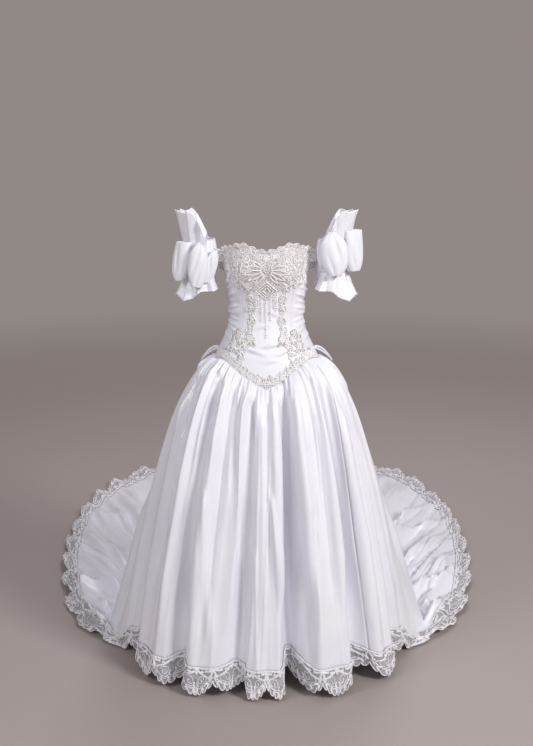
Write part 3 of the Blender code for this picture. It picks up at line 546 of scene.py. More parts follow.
# %% Folds of the skirt
Fold = namedtuple("Fold", "top hem start end half_width rise")
FRONT_FOLDS = [
    Fold(28.6, 25.6, 0.0, 1.0, 1.7, 0.024),
    Fold(31.5, 30.2, 0.02, 1.0, 2.2, -0.026),
    Fold(34.6, 35.2, 0.05, 0.9, 1.7, 0.012),
    Fold(38.8, 38.6, 0.0, 0.8, 2.0, 0.015),
    Fold(42.8, 42.2, 0.0, 1.0, 2.3, -0.018),
    Fold(46.2, 48.4, 0.0, 1.0, 1.6, 0.024),
    Fold(50.6, 51.8, 0.1, 0.9, 1.4, -0.013),
    Fold(53.2, 54.0, 0.0, 0.85, 1.1, 0.012),
    Fold(55.9, 58.8, 0.03, 1.0, 1.7, -0.020),
    Fold(60.2, 61.6, 0.05, 1.0, 1.5, 0.018),
    Fold(24.6, 21.8, 0.0, 0.9, 1.4, -0.015),
    Fold(21.3, 18.8, 0.0, 1.0, 1.8, 0.018),
    Fold(17.8, 15.6, 0.05, 1.0, 1.6, -0.018),
    Fold(13.9, 11.8, 0.0, 1.0, 1.5, 0.018),
    Fold(10.2, 8.6, 0.05, 0.75, 1.2, -0.014),
    Fold(6.2, 5.6, 0.1, 1.0, 1.6, 0.018),
    Fold(64.0, 64.6, 0.05, 1.0, 1.3, 0.015),
    Fold(67.0, 66.8, 0.1, 1.0, 1.3, -0.014),
    Fold(1.5, 0.8, 0.05, 0.9, 1.5, -0.014),
    Fold(8.0, 10.8, 0.25, 0.62, 1.0, 0.009),
    Fold(37.0, 40.4, 0.35, 0.85, 1.1, 0.008),
    Fold(49.0, 45.6, 0.42, 1.0, 1.2, -0.010),
    Fold(20.0, 23.2, 0.40, 0.95, 1.2, 0.009),
    Fold(33.0, 31.6, 0.55, 1.0, 1.0, 0.008),
]
GATHER_SEED = 11
GATHER_PITCH_FRONT, GATHER_PITCH_BACK = 1.45, 1.3


def seeded_gathers():
    """Short gathers all round below the waist seam, each a little different."""
    draw = np.random.default_rng(GATHER_SEED)
    made, column = [], 0.0
    while column < ALL_COLUMNS:
        pitch = GATHER_PITCH_FRONT if column < FRONT_COLUMNS else GATHER_PITCH_BACK
        length = draw.choice([0.07, 0.13, 0.22, 0.42], p=[0.35, 0.3, 0.2, 0.15])
        drift = draw.normal(0, 1.0) * length * 5
        end = length * draw.uniform(0.7, 1.3)
        half_width = pitch * draw.uniform(0.34, 0.62)
        made.append(Fold(column, column + drift, 0.0, end, half_width, draw.uniform(0.002, 0.0105)))
        column += pitch * draw.uniform(0.55, 1.6)
    for _ in range(26):
        column = draw.uniform(74, 154)
        made.append(
            Fold(column, column + draw.normal(0, 1.5), draw.uniform(0.0, 0.1), draw.uniform(0.5, 0.9),
                 draw.uniform(1.0, 1.9), draw.uniform(0.005, 0.011) * draw.choice([-1, 1]))
        )
    return made


SKIRT_FOLDS = FRONT_FOLDS + seeded_gathers()


def ridged(x, y, layer):
    """Soft ridges, 0 to 1, from smooth noise folded over."""
    values = [1 - abs(noise.noise(Vector((a, b, layer)))) * 2.2 for a, b in zip(x.ravel(), y.ravel())]
    return np.clip(np.array(values), 0, 1).reshape(x.shape) ** 2


def ridged_round(column, y, pitch, layer):
    """The same soft ridges, which meet themselves after one turn round the hem."""
    turn = 2 * math.pi * column / ALL_COLUMNS
    radius = ALL_COLUMNS * pitch / (2 * math.pi)
    places = zip((radius * np.cos(turn)).ravel(), (radius * np.sin(turn)).ravel(), (y + layer).ravel())
    values = [1 - abs(noise.noise(Vector(place))) * 2.2 for place in places]
    return np.clip(np.array(values), 0, 1).reshape(column.shape) ** 2


def fold_rise(column, reach):
    """Height of the fine folds off the skirt's plain form."""
    total = np.zeros(np.broadcast(column, reach).shape)
    for fold in SKIRT_FOLDS:
        span = (reach - fold.start) / (fold.end - fold.start)
        centre = fold.top + (fold.hem - fold.top) * np.clip(span, 0, 1)
        wide = fold.half_width * (1 + 0.5 * np.clip(span, 0, 1))
        x = across(column, centre) / wide
        near = np.abs(x) < 1
        if not near.any():
            continue
        shape = np.where(near, (1 - np.abs(x)) ** 2 * (1 + 2 * np.abs(x)), 0.0)
        fade = ease(0.0, 0.12, span) * (1 - ease(0.72, 1.0, span) * (0.45 if fold.end >= 0.99 else 1.0))
        total = total + fold.rise * shape * fade
    long_drape = ridged_round(column, reach * 0.9, 0.30, 21.3)
    short_drape = ridged_round(column + reach * 2.2, reach * 2.6, 0.62, 27.9)
    return total + ease(0.03, 0.25, reach) * (0.0065 * long_drape + 0.0018 * short_drape)


print("folds:", len(SKIRT_FOLDS))

# %% [markdown]
# Where the train lies on the floor it can't hang, so it crumples: long soft ridges run from the fall out to
# the lace, with finer ones between. The broadest are rows in a table, and the others are ridged noise,
# stretched along each column's path.

# %% Crumples of the train
Wrinkle = namedtuple("Wrinkle", "column half_width rise middle")
WRINKLES = [
    Wrinkle(79.5, 2.0, 0.026, 0.45),
    Wrinkle(84.0, 1.8, 0.020, 0.60),
    Wrinkle(87.8, 2.1, 0.034, 0.40),
    Wrinkle(92.2, 2.0, 0.022, 0.62),
    Wrinkle(96.8, 2.2, 0.036, 0.35),
    Wrinkle(101.2, 2.0, 0.024, 0.58),
    Wrinkle(105.8, 2.2, 0.034, 0.42),
    Wrinkle(110.2, 2.1, 0.024, 0.62),
    Wrinkle(114.8, 2.2, 0.036, 0.38),
    Wrinkle(119.2, 2.1, 0.024, 0.60),
    Wrinkle(123.8, 2.2, 0.034, 0.40),
    Wrinkle(128.2, 2.0, 0.026, 0.64),
    Wrinkle(132.8, 2.2, 0.036, 0.40),
    Wrinkle(137.2, 2.0, 0.022, 0.60),
    Wrinkle(141.0, 2.1, 0.034, 0.42),
    Wrinkle(144.8, 1.8, 0.020, 0.60),
    Wrinkle(149.2, 2.0, 0.026, 0.45),
]


def floor_rise(column, share):
    """Height of the train's crumples over the floor."""
    total = np.zeros(np.broadcast(column, share).shape)
    side = np.sign(CENTRE_BACK - column)
    for wrinkle in WRINKLES:
        drift = 2.0 * (share - 0.5) * np.sign(CENTRE_BACK - wrinkle.column)
        x = (column - wrinkle.column - drift) / wrinkle.half_width
        along = np.exp(-(((share - wrinkle.middle) / 0.34) ** 2))
        total = total + wrinkle.rise * mound(x) * along * 0.9
    total = total * (1 - ease(0.72, 0.93, share))
    on_floor = ease(0.02, 0.2, share)
    broad = ridged(column * 0.30 + side * share * 1.2, share * 1.0, 3.1)
    small = ridged(column * 0.60 - side * share * 1.8, share * 1.2, 8.7)
    tiny = ridged(column * 1.3, share * 4.0, 15.3)
    near_lace = ease(0.6, 0.93, share)
    large = 0.040 * broad * (1 - 0.6 * near_lace) + 0.026 * small * (1 - 0.5 * near_lace)
    total = total + on_floor * (large + 0.002 * tiny)
    pucker = 0.5 + 0.5 * np.cos(2 * math.pi * column * 1.25 + 1.7 * np.sin(column * 2.1))
    total = total + 0.006 * pucker * near_lace * on_floor
    return total * ease(0.025, 0.16, train_share(column))


# %% The five gores
GORES = [
    ("front", 12, 60, 5),
    ("side_left", 60, 90, 4),
    ("back_left", 90, 114, 5),
    ("back_right", 114, 138, 5),
    ("side_right", 138, 168, 4),
]
SKIRT_INSIDE = (0, 0, -2.5)
GORE_ROWS = {"front": 84, "side_left": 92, "side_right": 92, "back_left": 104, "back_right": 104}


ROW_SPREAD, FLOOR_GAP = 1.12, 0.0025
# Metres of cloth from the waist to the satin's edge, and how far the lace is set back at most
TYPICAL_FALL, MOST_SET_BACK = 1.6, 0.030


def lace_set_back(column):
    """How far, in metres, the train's lace is sewn in from the satin's edge: most at the sides."""
    share = train_share(column % ALL_COLUMNS)
    near = 2 * np.minimum(share, 1 - share)
    beside = ease(0.02, 0.12, near) * (1 - 0.6 * ease(0.4, 1.0, near))
    return MOST_SET_BACK * np.where(column % ALL_COLUMNS < FRONT_COLUMNS, 0.0, beside)


def dressed_skirt(columns, reaches):
    """The skirt with its folds and, where it lies on the floor, its crumples."""
    points, floor_share = skirt_points(columns, reaches)
    column = np.broadcast_to(np.asarray(columns, float)[:, None], floor_share.shape)
    reach = np.broadcast_to(reaches, floor_share.shape)
    normal = normals_of(points, SKIRT_INSIDE)
    fall = 1 - ease(0.0, 0.12, floor_share)
    points = points + normal * (fold_rise(column, reach) * fall)[..., None]
    points[..., 2] += np.where(floor_share > 0, floor_rise(column % ALL_COLUMNS, floor_share), 0.0)
    points[..., 2] = np.maximum(points[..., 2], FLOOR + FLOOR_GAP)
    return points


for label, start, end, each in GORES:
    columns = fine(start, end, each)
    satin_end = 1 - lace_set_back(columns)[:, None] / TYPICAL_FALL
    reaches = np.linspace(0, 1, GORE_ROWS[label] + 1) ** ROW_SPREAD * satin_end
    points = dressed_skirt(columns, reaches)
    piece = cloth(f"skirt_gore_{label}", points, SATIN, SKIRT_INSIDE)
    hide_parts(f"skirt_{label}")

# %% [markdown]
# The bodice is five panels of the same satin, cut close. Its side panels are drawn tight at the waist, so
# short creases run across them, and one soft crease crosses the front above the point. Each crease is a row
# of numbers.

# %% The bodice's creases and panels
Crease = namedtuple("Crease", "azimuth height tilt spread half_height rise")
CREASES = [
    Crease(66, 0.108, -0.010, 26, 0.0080, 0.0040),
    Crease(74, 0.086, -0.014, 30, 0.0065, 0.0036),
    Crease(62, 0.068, -0.012, 24, 0.0070, 0.0042),
    Crease(72, 0.047, -0.006, 30, 0.0060, 0.0036),
    Crease(63, 0.030, -0.008, 24, 0.0055, 0.0040),
    Crease(74, 0.013, 0.002, 30, 0.0055, 0.0032),
    Crease(64, -0.004, 0.004, 24, 0.0050, 0.0034),
    Crease(72, -0.019, 0.008, 28, 0.0060, 0.0030),
    Crease(60, -0.037, 0.012, 24, 0.0070, 0.0026),
    Crease(78, -0.056, 0.010, 26, 0.0080, 0.0022),
    Crease(112, 0.060, 0.008, 24, 0.0070, 0.0022),
    Crease(120, 0.028, 0.004, 28, 0.0065, 0.0024),
    Crease(114, -0.004, -0.004, 26, 0.0065, 0.0024),
    Crease(128, -0.034, -0.006, 28, 0.0075, 0.0020),
]
FRONT_CREASES = [
    Crease(8, -0.074, 0.010, 26, 0.0080, 0.0036),
    Crease(-14, -0.092, -0.012, 20, 0.0085, 0.0030),
    Crease(17, -0.098, 0.016, 16, 0.0075, 0.0024),
    Crease(-8, 0.052, 0.006, 13, 0.0080, 0.0016),
    Crease(10, 0.018, -0.008, 15, 0.0080, 0.0018),
    Crease(-6, -0.020, 0.006, 16, 0.0070, 0.0018),
    Crease(4, -0.120, 0.004, 14, 0.0090, 0.0022),
]
DRAW_TOP, DRAW_BOTTOM, DRAW_COUNT, DRAW_RISE = 0.115, -0.040, 3, 0.003


def crease_rise(azimuth, height):
    """How far the creases stand off the bodice, the same on both sides but for a small shift."""
    total = np.zeros(np.broadcast(azimuth, height).shape)
    signed = (azimuth + 180.0) % 360.0 - 180.0
    rows = [(row, 1, 0.0) for row in CREASES] + [(row, -1, 0.004) for row in CREASES]
    rows += [(row, 1, 0.0) for row in FRONT_CREASES]
    for row, side, shift in rows:
        x = (signed * side - row.azimuth) / row.spread
        y = (height - row.height - shift - row.tilt * x) / row.half_height
        total = total + row.rise * mound(x) * (mound(y) - 0.45 * mound((y + 1.3) / 1.2))
    around = around_of(azimuth)
    side = ease(38, 55, around) * (1 - ease(98, 118, around))
    span = (height - DRAW_BOTTOM) / (DRAW_TOP - DRAW_BOTTOM)
    return 1.45 * total + DRAW_RISE * side * np.sin(2 * math.pi * DRAW_COUNT * span) * mound(2 * span - 1)


def on_bodice(azimuth, height, lift=0.0):
    """A point on the dressed bodice, lift metres over the satin."""
    return bodice_surface(azimuth, height, crease_rise(azimuth, height) + lift)


BODICE_INSIDE = (0, 0, 0)
PANELS = [
    ("front", -FRONT_SEAM, FRONT_SEAM, 66, 72),
    ("side_left", FRONT_SEAM, BACK_SEAM, 46, 112),
    ("back_left", BACK_SEAM, 180, 44, 42),
    ("back_right", 180, 360 - BACK_SEAM, 44, 42),
    ("side_right", 360 - BACK_SEAM, 360 - FRONT_SEAM, 46, 112),
]
for label, start, end, columns, rows in PANELS:
    azimuth = np.linspace(start, end, columns + 1)[:, None]
    share = np.linspace(0, 1, rows + 1)[None, :]
    top, seam = bodice_edge("neckline", azimuth), bodice_edge("waist_seam", azimuth)
    points = on_bodice(azimuth + 0 * share, top + (seam - top) * share)
    piece = cloth(f"bodice_panel_{label}", points, SATIN, BODICE_INSIDE)
    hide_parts(f"bodice_{label}")
print("bodice panels:", len(PANELS))

# %% [markdown]
# Beaded lace is a net that is embroidered with flowers and then sewn over with beads. The ground is one
# sheet with an embroidered look, and a vertex attribute says where the net is left open, so that it looks
# darker there.

# %% Embroidered net, bead and cord finishes
def beaded_ground(name, net, thread):
    """Embroidered net: corded rings like small flowers with beads between, and bare net where it is open."""
    look, tree, shader = new_look(name)
    shader.inputs["Sheen Weight"].default_value = 0.25
    shader.inputs["Specular IOR Level"].default_value = 0.7
    uv = node_of(tree, "ShaderNodeUVMap", uv_map="UVMap")
    flowers = node_of(tree, "ShaderNodeTexVoronoi", Scale=66.0, feature="SMOOTH_F1", Smoothness=0.15)
    spread = node_of(tree, "ShaderNodeMath", operation="MULTIPLY")
    spread.inputs[1].default_value = 21.0
    rings = node_of(tree, "ShaderNodeMath", operation="SINE")
    band = node_of(tree, "ShaderNodeMapRange", From_Min=-0.7, From_Max=0.1)
    seeds = node_of(tree, "ShaderNodeTexVoronoi", Scale=330.0)
    grain = node_of(tree, "ShaderNodeMapRange", From_Min=0.15, From_Max=0.5, To_Min=1.0, To_Max=0.0)
    both = node_of(tree, "ShaderNodeMath", operation="MAXIMUM")
    opened = node_of(tree, "ShaderNodeAttribute", attribute_name="open_net")
    covered = node_of(tree, "ShaderNodeMapRange", To_Min=1.0, To_Max=0.22)
    thread_share = node_of(tree, "ShaderNodeMath", operation="MULTIPLY")
    shades = node_of(tree, "ShaderNodeMix", data_type="RGBA")
    shades.inputs["A"].default_value = (*net, 1)
    shades.inputs["B"].default_value = (*thread, 1)
    gloss = node_of(tree, "ShaderNodeMapRange", To_Min=0.55, To_Max=0.26)
    bump = node_of(tree, "ShaderNodeBump", Strength=0.8, Distance=0.0016)
    wire(tree, (uv.outputs[0], flowers.inputs["Vector"]), (uv.outputs[0], seeds.inputs["Vector"]))
    wire(tree, (flowers.outputs["Distance"], spread.inputs[0]), (spread.outputs[0], rings.inputs[0]))
    wire(tree, (rings.outputs[0], band.inputs["Value"]), (seeds.outputs["Distance"], grain.inputs["Value"]))
    wire(tree, (band.outputs[0], both.inputs[0]), (grain.outputs[0], both.inputs[1]))
    wire(tree, (opened.outputs["Fac"], covered.inputs["Value"]), (covered.outputs[0], thread_share.inputs[0]))
    wire(tree, (both.outputs[0], thread_share.inputs[1]), (thread_share.outputs[0], shades.inputs["Factor"]))
    wire(tree, (shades.outputs["Result"], shader.inputs["Base Color"]))
    wire(tree, (both.outputs[0], bump.inputs["Height"]))
    wire(tree, (bump.outputs["Normal"], shader.inputs["Normal"]), (grain.outputs[0], gloss.inputs["Value"]))
    wire(tree, (gloss.outputs[0], shader.inputs["Roughness"]))
    return look


def bead_look(name, colour, rough, coat):
    """Small glass or pearl beads, each a little different in tone."""
    look, tree, shader = new_look(name)
    shader.inputs["Coat Weight"].default_value = coat
    shader.inputs["Coat Roughness"].default_value = 0.08
    shader.inputs["Specular IOR Level"].default_value = 0.8
    place = node_of(tree, "ShaderNodeTexCoord")
    tone = node_of(tree, "ShaderNodeTexNoise", Scale=260.0, Detail=1.0)
    shades = node_of(tree, "ShaderNodeValToRGB")
    shades.color_ramp.elements[0].position = 0.35
    shades.color_ramp.elements[0].color = (*(value * 0.82 for value in colour), 1)
    shades.color_ramp.elements[1].position = 0.6
    shades.color_ramp.elements[1].color = (*colour, 1)
    gloss = node_of(tree, "ShaderNodeMapRange", To_Min=rough, To_Max=rough + 0.15)
    wire(tree, (place.outputs["Object"], tone.inputs["Vector"]), (tone.outputs["Fac"], shades.inputs["Fac"]))
    wire(tree, (shades.outputs["Color"], shader.inputs["Base Color"]))
    wire(tree, (tone.outputs["Fac"], gloss.inputs["Value"]))
    wire(tree, (gloss.outputs[0], shader.inputs["Roughness"]))
    return look


def cord_look(name, colour):
    """Twisted embroidery cord: a fine slanted ply and a soft sheen."""
    look, tree, shader = new_look(name)
    shader.inputs["Sheen Weight"].default_value = 0.35
    place = node_of(tree, "ShaderNodeTexCoord")
    ply = node_of(tree, "ShaderNodeTexWave", Scale=210.0, Distortion=2.0, bands_direction="DIAGONAL")
    tone = node_of(tree, "ShaderNodeTexNoise", Scale=60.0, Detail=2.0)
    shades = node_of(tree, "ShaderNodeValToRGB")
    shades.color_ramp.elements[0].position = 0.3
    shades.color_ramp.elements[0].color = (*(value * 0.88 for value in colour), 1)
    shades.color_ramp.elements[1].position = 0.62
    shades.color_ramp.elements[1].color = (*colour, 1)
    gloss = node_of(tree, "ShaderNodeMapRange", To_Min=0.34, To_Max=0.5)
    bump = node_of(tree, "ShaderNodeBump", Strength=0.5, Distance=0.0006)
    wire(tree, (place.outputs["Object"], ply.inputs["Vector"]))
    wire(tree, (place.outputs["Object"], tone.inputs["Vector"]))
    wire(tree, (tone.outputs["Fac"], shades.inputs["Fac"]))
    wire(tree, (shades.outputs["Color"], shader.inputs["Base Color"]))
    wire(tree, (ply.outputs["Fac"], bump.inputs["Height"]), (bump.outputs["Normal"], shader.inputs["Normal"]))
    wire(tree, (tone.outputs["Fac"], gloss.inputs["Value"]), (gloss.outputs[0], shader.inputs["Roughness"]))
    return look


BEADED_GROUND = beaded_ground("beaded_lace_ground", (0.46, 0.425, 0.42), (0.95, 0.935, 0.955))
PEARL = bead_look("pearl_beads", (0.97, 0.95, 0.95), 0.14, 0.5)
CRYSTAL = bead_look("crystal_bugles", (0.97, 0.95, 0.95), 0.08, 1.0)
SOUTACHE = cord_look("bodice_cord", (0.97, 0.965, 0.985))
BACKING = cord_look("net_backing", (0.60, 0.555, 0.545))

# %% [markdown]
# Everything raised on the lace is either a bead or a short cord. Each has one template, made with an
# operator and read once: a faceted ball, and a tube that is closed at both ends. Copies of them are set
# along drawn lines and joined into one mesh, so a few thousand beads stay one light piece.

# %% Templates and how they are set
Strand = namedtuple("Strand", "line width height ends", defaults=(0.85,))
TUBE_STEPS, TUBE_SIDES = 5, 4
SEED, PEARL_SIZE, BEAD_PITCH = 0.00150, 0.0022, 0.0036


def bead_template():
    """One bead: a small faceted ball."""
    bm = bmesh.new()
    bmesh.ops.create_icosphere(bm, subdivisions=1, radius=1.0)
    bm.verts.ensure_lookup_table()
    points = np.array([vert.co[:] for vert in bm.verts])
    faces = np.array([[vert.index for vert in face.verts] for face in bm.faces])
    bm.free()
    return points, faces


def tube_template(steps, sides):
    """One closed tube cut into steps: each vertex by its share along, and the sine and cosine of its turn."""
    bm = bmesh.new()
    bmesh.ops.create_cone(bm, cap_ends=True, segments=sides, radius1=1, radius2=1, depth=1)
    long_edges = [edge for edge in bm.edges if abs(edge.verts[0].co.z - edge.verts[1].co.z) > 0.5]
    bmesh.ops.subdivide_edges(bm, edges=long_edges, cuts=steps - 1)
    bmesh.ops.triangulate(bm, faces=bm.faces[:])
    bm.verts.ensure_lookup_table()
    points = np.array([(vert.co.z + 0.5, vert.co.x, vert.co.y) for vert in bm.verts])
    faces = np.array([[vert.index for vert in face.verts] for face in bm.faces])
    bm.free()
    return points, faces


ROUND_BEAD = bead_template()
TUBE = tube_template(TUBE_STEPS, TUBE_SIDES)


def unit(vectors):
    return vectors / np.maximum(np.linalg.norm(vectors, axis=-1, keepdims=True), 1e-9)


def joined(name, copies, faces, look):
    """One mesh from copies of a template: copies is (number, vertices, 3)."""
    all_faces = (faces[None] + (np.arange(len(copies)) * copies.shape[1])[:, None, None]).reshape(-1, 3)
    mesh = bpy.data.meshes.new(name)
    mesh.from_pydata(copies.reshape(-1, 3).tolist(), [], all_faces.tolist())
    bm = bmesh.new()
    bm.from_mesh(mesh)
    bmesh.ops.recalc_face_normals(bm, faces=bm.faces[:])
    bm.to_mesh(mesh)
    bm.free()
    mesh.shade_smooth()
    return keep(name, mesh, look)


def stamp(name, centres, sizes, along, normals, look):
    """Beads at centres. sizes is (n, 3): along its direction, across it and off the cloth."""
    shape, faces = ROUND_BEAD
    first = unit(along)
    across = unit(np.cross(normals, first))
    copies = (
        centres[:, None]
        + shape[None, :, :1] * sizes[:, None, :1] * first[:, None]
        + shape[None, :, 1:2] * sizes[:, None, 1:2] * across[:, None]
        + shape[None, :, 2:] * sizes[:, None, 2:] * unit(normals)[:, None]
    )
    return joined(name, copies, faces, look)


def resampled(line, count):
    line = np.asarray(line, float)
    along = np.concatenate([[0], np.cumsum(np.linalg.norm(np.diff(line, axis=0), axis=1))])
    at = np.linspace(0, along[-1], count)
    return np.stack([np.interp(at, along, line[:, axis]) for axis in range(line.shape[1])], axis=1)


def relief(name, strands, place, look):
    """Raised cords and leaves. place turns a strand's 2-D points into points and outward normals."""
    shape, faces = TUBE
    steps = np.rint(shape[:, 0] * TUBE_STEPS).astype(int)
    lines = np.stack([resampled(strand.line, TUBE_STEPS + 1) for strand in strands])
    points, normals = place(lines[..., 0], lines[..., 1])
    across = unit(np.cross(np.gradient(points, axis=1), normals))
    belly = np.sin(np.linspace(0, 1, TUBE_STEPS + 1) * math.pi)[steps][None, :, None]
    width, height, ends = (
        np.array([getattr(strand, field) for strand in strands])[:, None, None]
        for field in ("width", "height", "ends")
    )
    full = ends + (1 - ends) * belly
    width, height = width * full, height * full
    copies = (
        points[:, steps]
        + across[:, steps] * shape[None, :, 1:2] * width / 2
        + normals[:, steps] * (shape[None, :, 2:3] + 0.5) * height / 2
    )
    return joined(name, copies, faces, look)


# %% [markdown]
# The motifs are a dressmaker's ordinary ones, drawn with a few curves each: a leaf, a rosette, a scroll and
# a shell. They are drawn flat in metres, then laid on the bodice at an azimuth and a height, as cords, as
# beads or as both.

# %% Motifs
def leaf(length, width):
    t = np.linspace(0, 1, 15)
    side = width / 2 * np.sin(math.pi * t**0.8)
    return [np.stack([length * t, side], 1), np.stack([length * t, -side], 1)]


def ring(radius, squash=1.0, sides=24):
    turn = np.linspace(0, 2 * math.pi, sides + 1)
    return np.stack([radius * np.cos(turn), radius * squash * np.sin(turn)], 1)


def rosette(radius):
    petals = []
    for angle in np.linspace(0, 2 * math.pi, 6)[:-1]:
        middle = radius * 0.72 * np.array([math.cos(angle), math.sin(angle)])
        petals.append(ring(radius * 0.36, sides=10) + middle)
    return [ring(radius * 0.26, sides=10), *petals]


def scroll(size, turns=1.1):
    turn = np.linspace(0, 2 * math.pi * turns, 40)
    radius = size * (1 - 0.78 * turn / turn[-1])
    curl = np.stack([radius * np.cos(turn), radius * np.sin(turn)], 1) - [size, 0]
    tail = np.stack([np.linspace(-0.2, 0, 8) * size, np.linspace(-1.5, 0, 8) * size], 1)
    return [np.concatenate([tail, curl])]


def shell(radius, count=3):
    turn = np.linspace(0.1, math.pi - 0.1, 14)
    radii = np.linspace(radius, radius * 0.35, count)
    return [np.stack([r * np.cos(turn), r * np.sin(turn)], 1) for r in radii]


def turned(lines, degrees, flip=1):
    c, s = math.cos(math.radians(degrees)), math.sin(math.radians(degrees))
    made = []
    for line in lines:
        x, y = line[:, 0], line[:, 1]
        made.append(np.stack([x * c - y * s, x * s + y * c], 1) * [flip, 1])
    return made


CORD_LENGTH = 0.011
CORD_WIDTH, CORD_HEIGHT = 0.0030, 0.0034
BOLD_CORD, LEAF_CORD, PETAL_CORD, FINE_CORD = 0.0042, 0.0032, 0.0028, 0.0022
RING_CORD, RING_LIFT = 0.0040, 0.0040
NET_WALL, NET_LIFT, BEAD_LIFT, HIGH_LIFT = 0.0009, 0.0011, 0.0030, 0.0046
# A patch of net under a motif: its width for each metre of the motif's half width, its height and its ends
BACKING_SPREAD, BACKING_HEIGHT, BACKING_ENDS = 2.5, 0.0030, 0.35
METRES_PER_DEGREE = 0.0022


def bodice_place(azimuth, height, lift=0.0014):
    """Points on the lace and their outward normals."""
    point = on_bodice(azimuth, height, lift)
    side = on_bodice(azimuth + 0.2, height, lift) - on_bodice(azimuth - 0.2, height, lift)
    rise = on_bodice(azimuth, height + 0.0005, lift) - on_bodice(azimuth, height - 0.0005, lift)
    return point, unit(np.cross(side, rise))


def on_satin(azimuth, height):
    return bodice_place(azimuth, height, -0.0004)


class Beadwork:
    """Cords and beads of one piece of beaded lace, laid on the bodice."""

    def __init__(self):
        self.places, self.sizes, self.along, self.lifts, self.strands, self.backing = [], [], [], [], [], []

    def add(self, places, size, along, lift):
        self.places.append(places)
        self.sizes.append(np.tile(size, (len(places), 1)))
        self.along.append(along)
        self.lifts.append(np.full(len(places), lift))

    def lay(
        self, lines, azimuth, height, size=SEED, lift=BEAD_LIFT, bugle=1.0, both=False, cord=0.0, beads=True
    ):
        """Lines in metres from a place.

        bugle is how much longer than wide each bead is, and cord is a cord's width.
        """
        metre = np.linalg.norm(bodice_surface(azimuth + 0.5, height) - bodice_surface(azimuth - 0.5, height))
        for line in lines:
            long = np.linalg.norm(np.diff(line, axis=0), axis=1).sum()
            if beads:
                count = max(round(long / (BEAD_PITCH * bugle * size / SEED)), 1)
                flat = resampled(line, count + 1)
                places = np.stack([azimuth + flat[:, 0] / metre, height + flat[:, 1]], 1)
                self.add(places, (size * bugle, size, size * 0.8), np.gradient(places, axis=0), lift)
            if cord:
                count = max(round(long / CORD_LENGTH), 1)
                flat = resampled(line, count * TUBE_STEPS + 1)
                places = np.stack([azimuth + flat[:, 0] / metre, height + flat[:, 1]], 1)
                for number in range(count):
                    part = places[number * TUBE_STEPS : (number + 1) * TUBE_STEPS + 1]
                    self.strands.append(Strand(part, cord, CORD_HEIGHT))
        if both:
            mirrored = [line * [-1, 1] for line in lines]
            self.lay(mirrored, -azimuth, height, size, lift, bugle, False, cord, beads)

    def back(self, lines, azimuth, height):
        """A patch of darker net under a motif, on both sides of the bodice."""
        metre = np.linalg.norm(bodice_surface(azimuth + 0.5, height) - bodice_surface(azimuth - 0.5, height))
        drawn = np.concatenate(lines)
        middle = drawn.mean(axis=0)
        _, _, axes = np.linalg.svd(drawn - middle)
        extent = np.abs((drawn - middle) @ axes.T).max(axis=0)
        flat = middle + np.linspace(-1.1, 1.1, TUBE_STEPS + 1)[:, None] * extent[0] * axes[0]
        for side in (1, -1):
            line = np.stack([side * (azimuth + flat[:, 0] / metre), height + flat[:, 1]], 1)
            self.backing.append(Strand(line, extent[1] * BACKING_SPREAD, BACKING_HEIGHT, BACKING_ENDS))

    def dots(self, azimuth, height, size=PEARL_SIZE, lift=BEAD_LIFT):
        places = np.stack([np.asarray(azimuth, float), np.asarray(height, float)], 1)
        self.add(places, (size, size, size * 0.6), np.tile([1.0, 0.0], (len(places), 1)), lift)

    def make(self, name, look):
        """Makes the beads, and the cords where there are any."""
        made, count = [], sum(len(places) for places in self.places)
        if count:
            places, along = np.concatenate(self.places), np.concatenate(self.along)
            lift = np.concatenate(self.lifts)
            centres, normals = bodice_place(places[:, 0], places[:, 1], lift)
            step = unit(along) * 0.05 * np.array([1.0, METRES_PER_DEGREE])
            ahead, _ = bodice_place(places[:, 0] + step[:, 0], places[:, 1] + step[:, 1], lift)
            sizes = np.concatenate(self.sizes)
            made.append(stamp(name, centres, sizes, ahead - centres, normals, look))
        if self.strands:
            made.append(relief(f"{name}_cords", self.strands, bodice_place, SOUTACHE))
        if self.backing:
            made.append(relief(f"{name}_net", self.backing, on_satin, BACKING))
        print(name, count, "beads and", len(self.strands), "cords")
        return made


# %% Yoke: the beaded net over the bust
YOKE_REACH = 81.4
SCALLOP_PITCH = 4 * FRONT_SEAM / 14
BURST_HEIGHT = 0.150
DIAMOND_HEIGHT, DIAMOND_HALF = 0.088, (0.030, 0.027)
Ray = namedtuple("Ray", "turn start reach width")
RAYS = [
    Ray(10, 0.013, 0.062, 0.0120),
    Ray(-10, 0.014, 0.065, 0.0125),
    Ray(-30, 0.014, 0.060, 0.0120),
    Ray(-50, 0.015, 0.050, 0.0100),
    Ray(32, 0.014, 0.048, 0.0095),
]


def yoke_edge(azimuth):
    around = around_of(azimuth)
    centre_point = np.where(around < 17, 0.058 - 0.0017 * around, 0.029 * (1 - ease(17, 23, around)))
    cup_point = 0.022 * mound((around - 42) / 20)
    return 0.118 - centre_point - cup_point + 0.02 * ease(58, 76, around)


def neckline(azimuth):
    """The yoke's scalloped upper edge."""
    wave = 0.5 - 0.5 * np.cos(np.radians(azimuth * 360 / SCALLOP_PITCH))
    return bodice_edge("neckline", azimuth) + YOKE_SCALLOP * wave


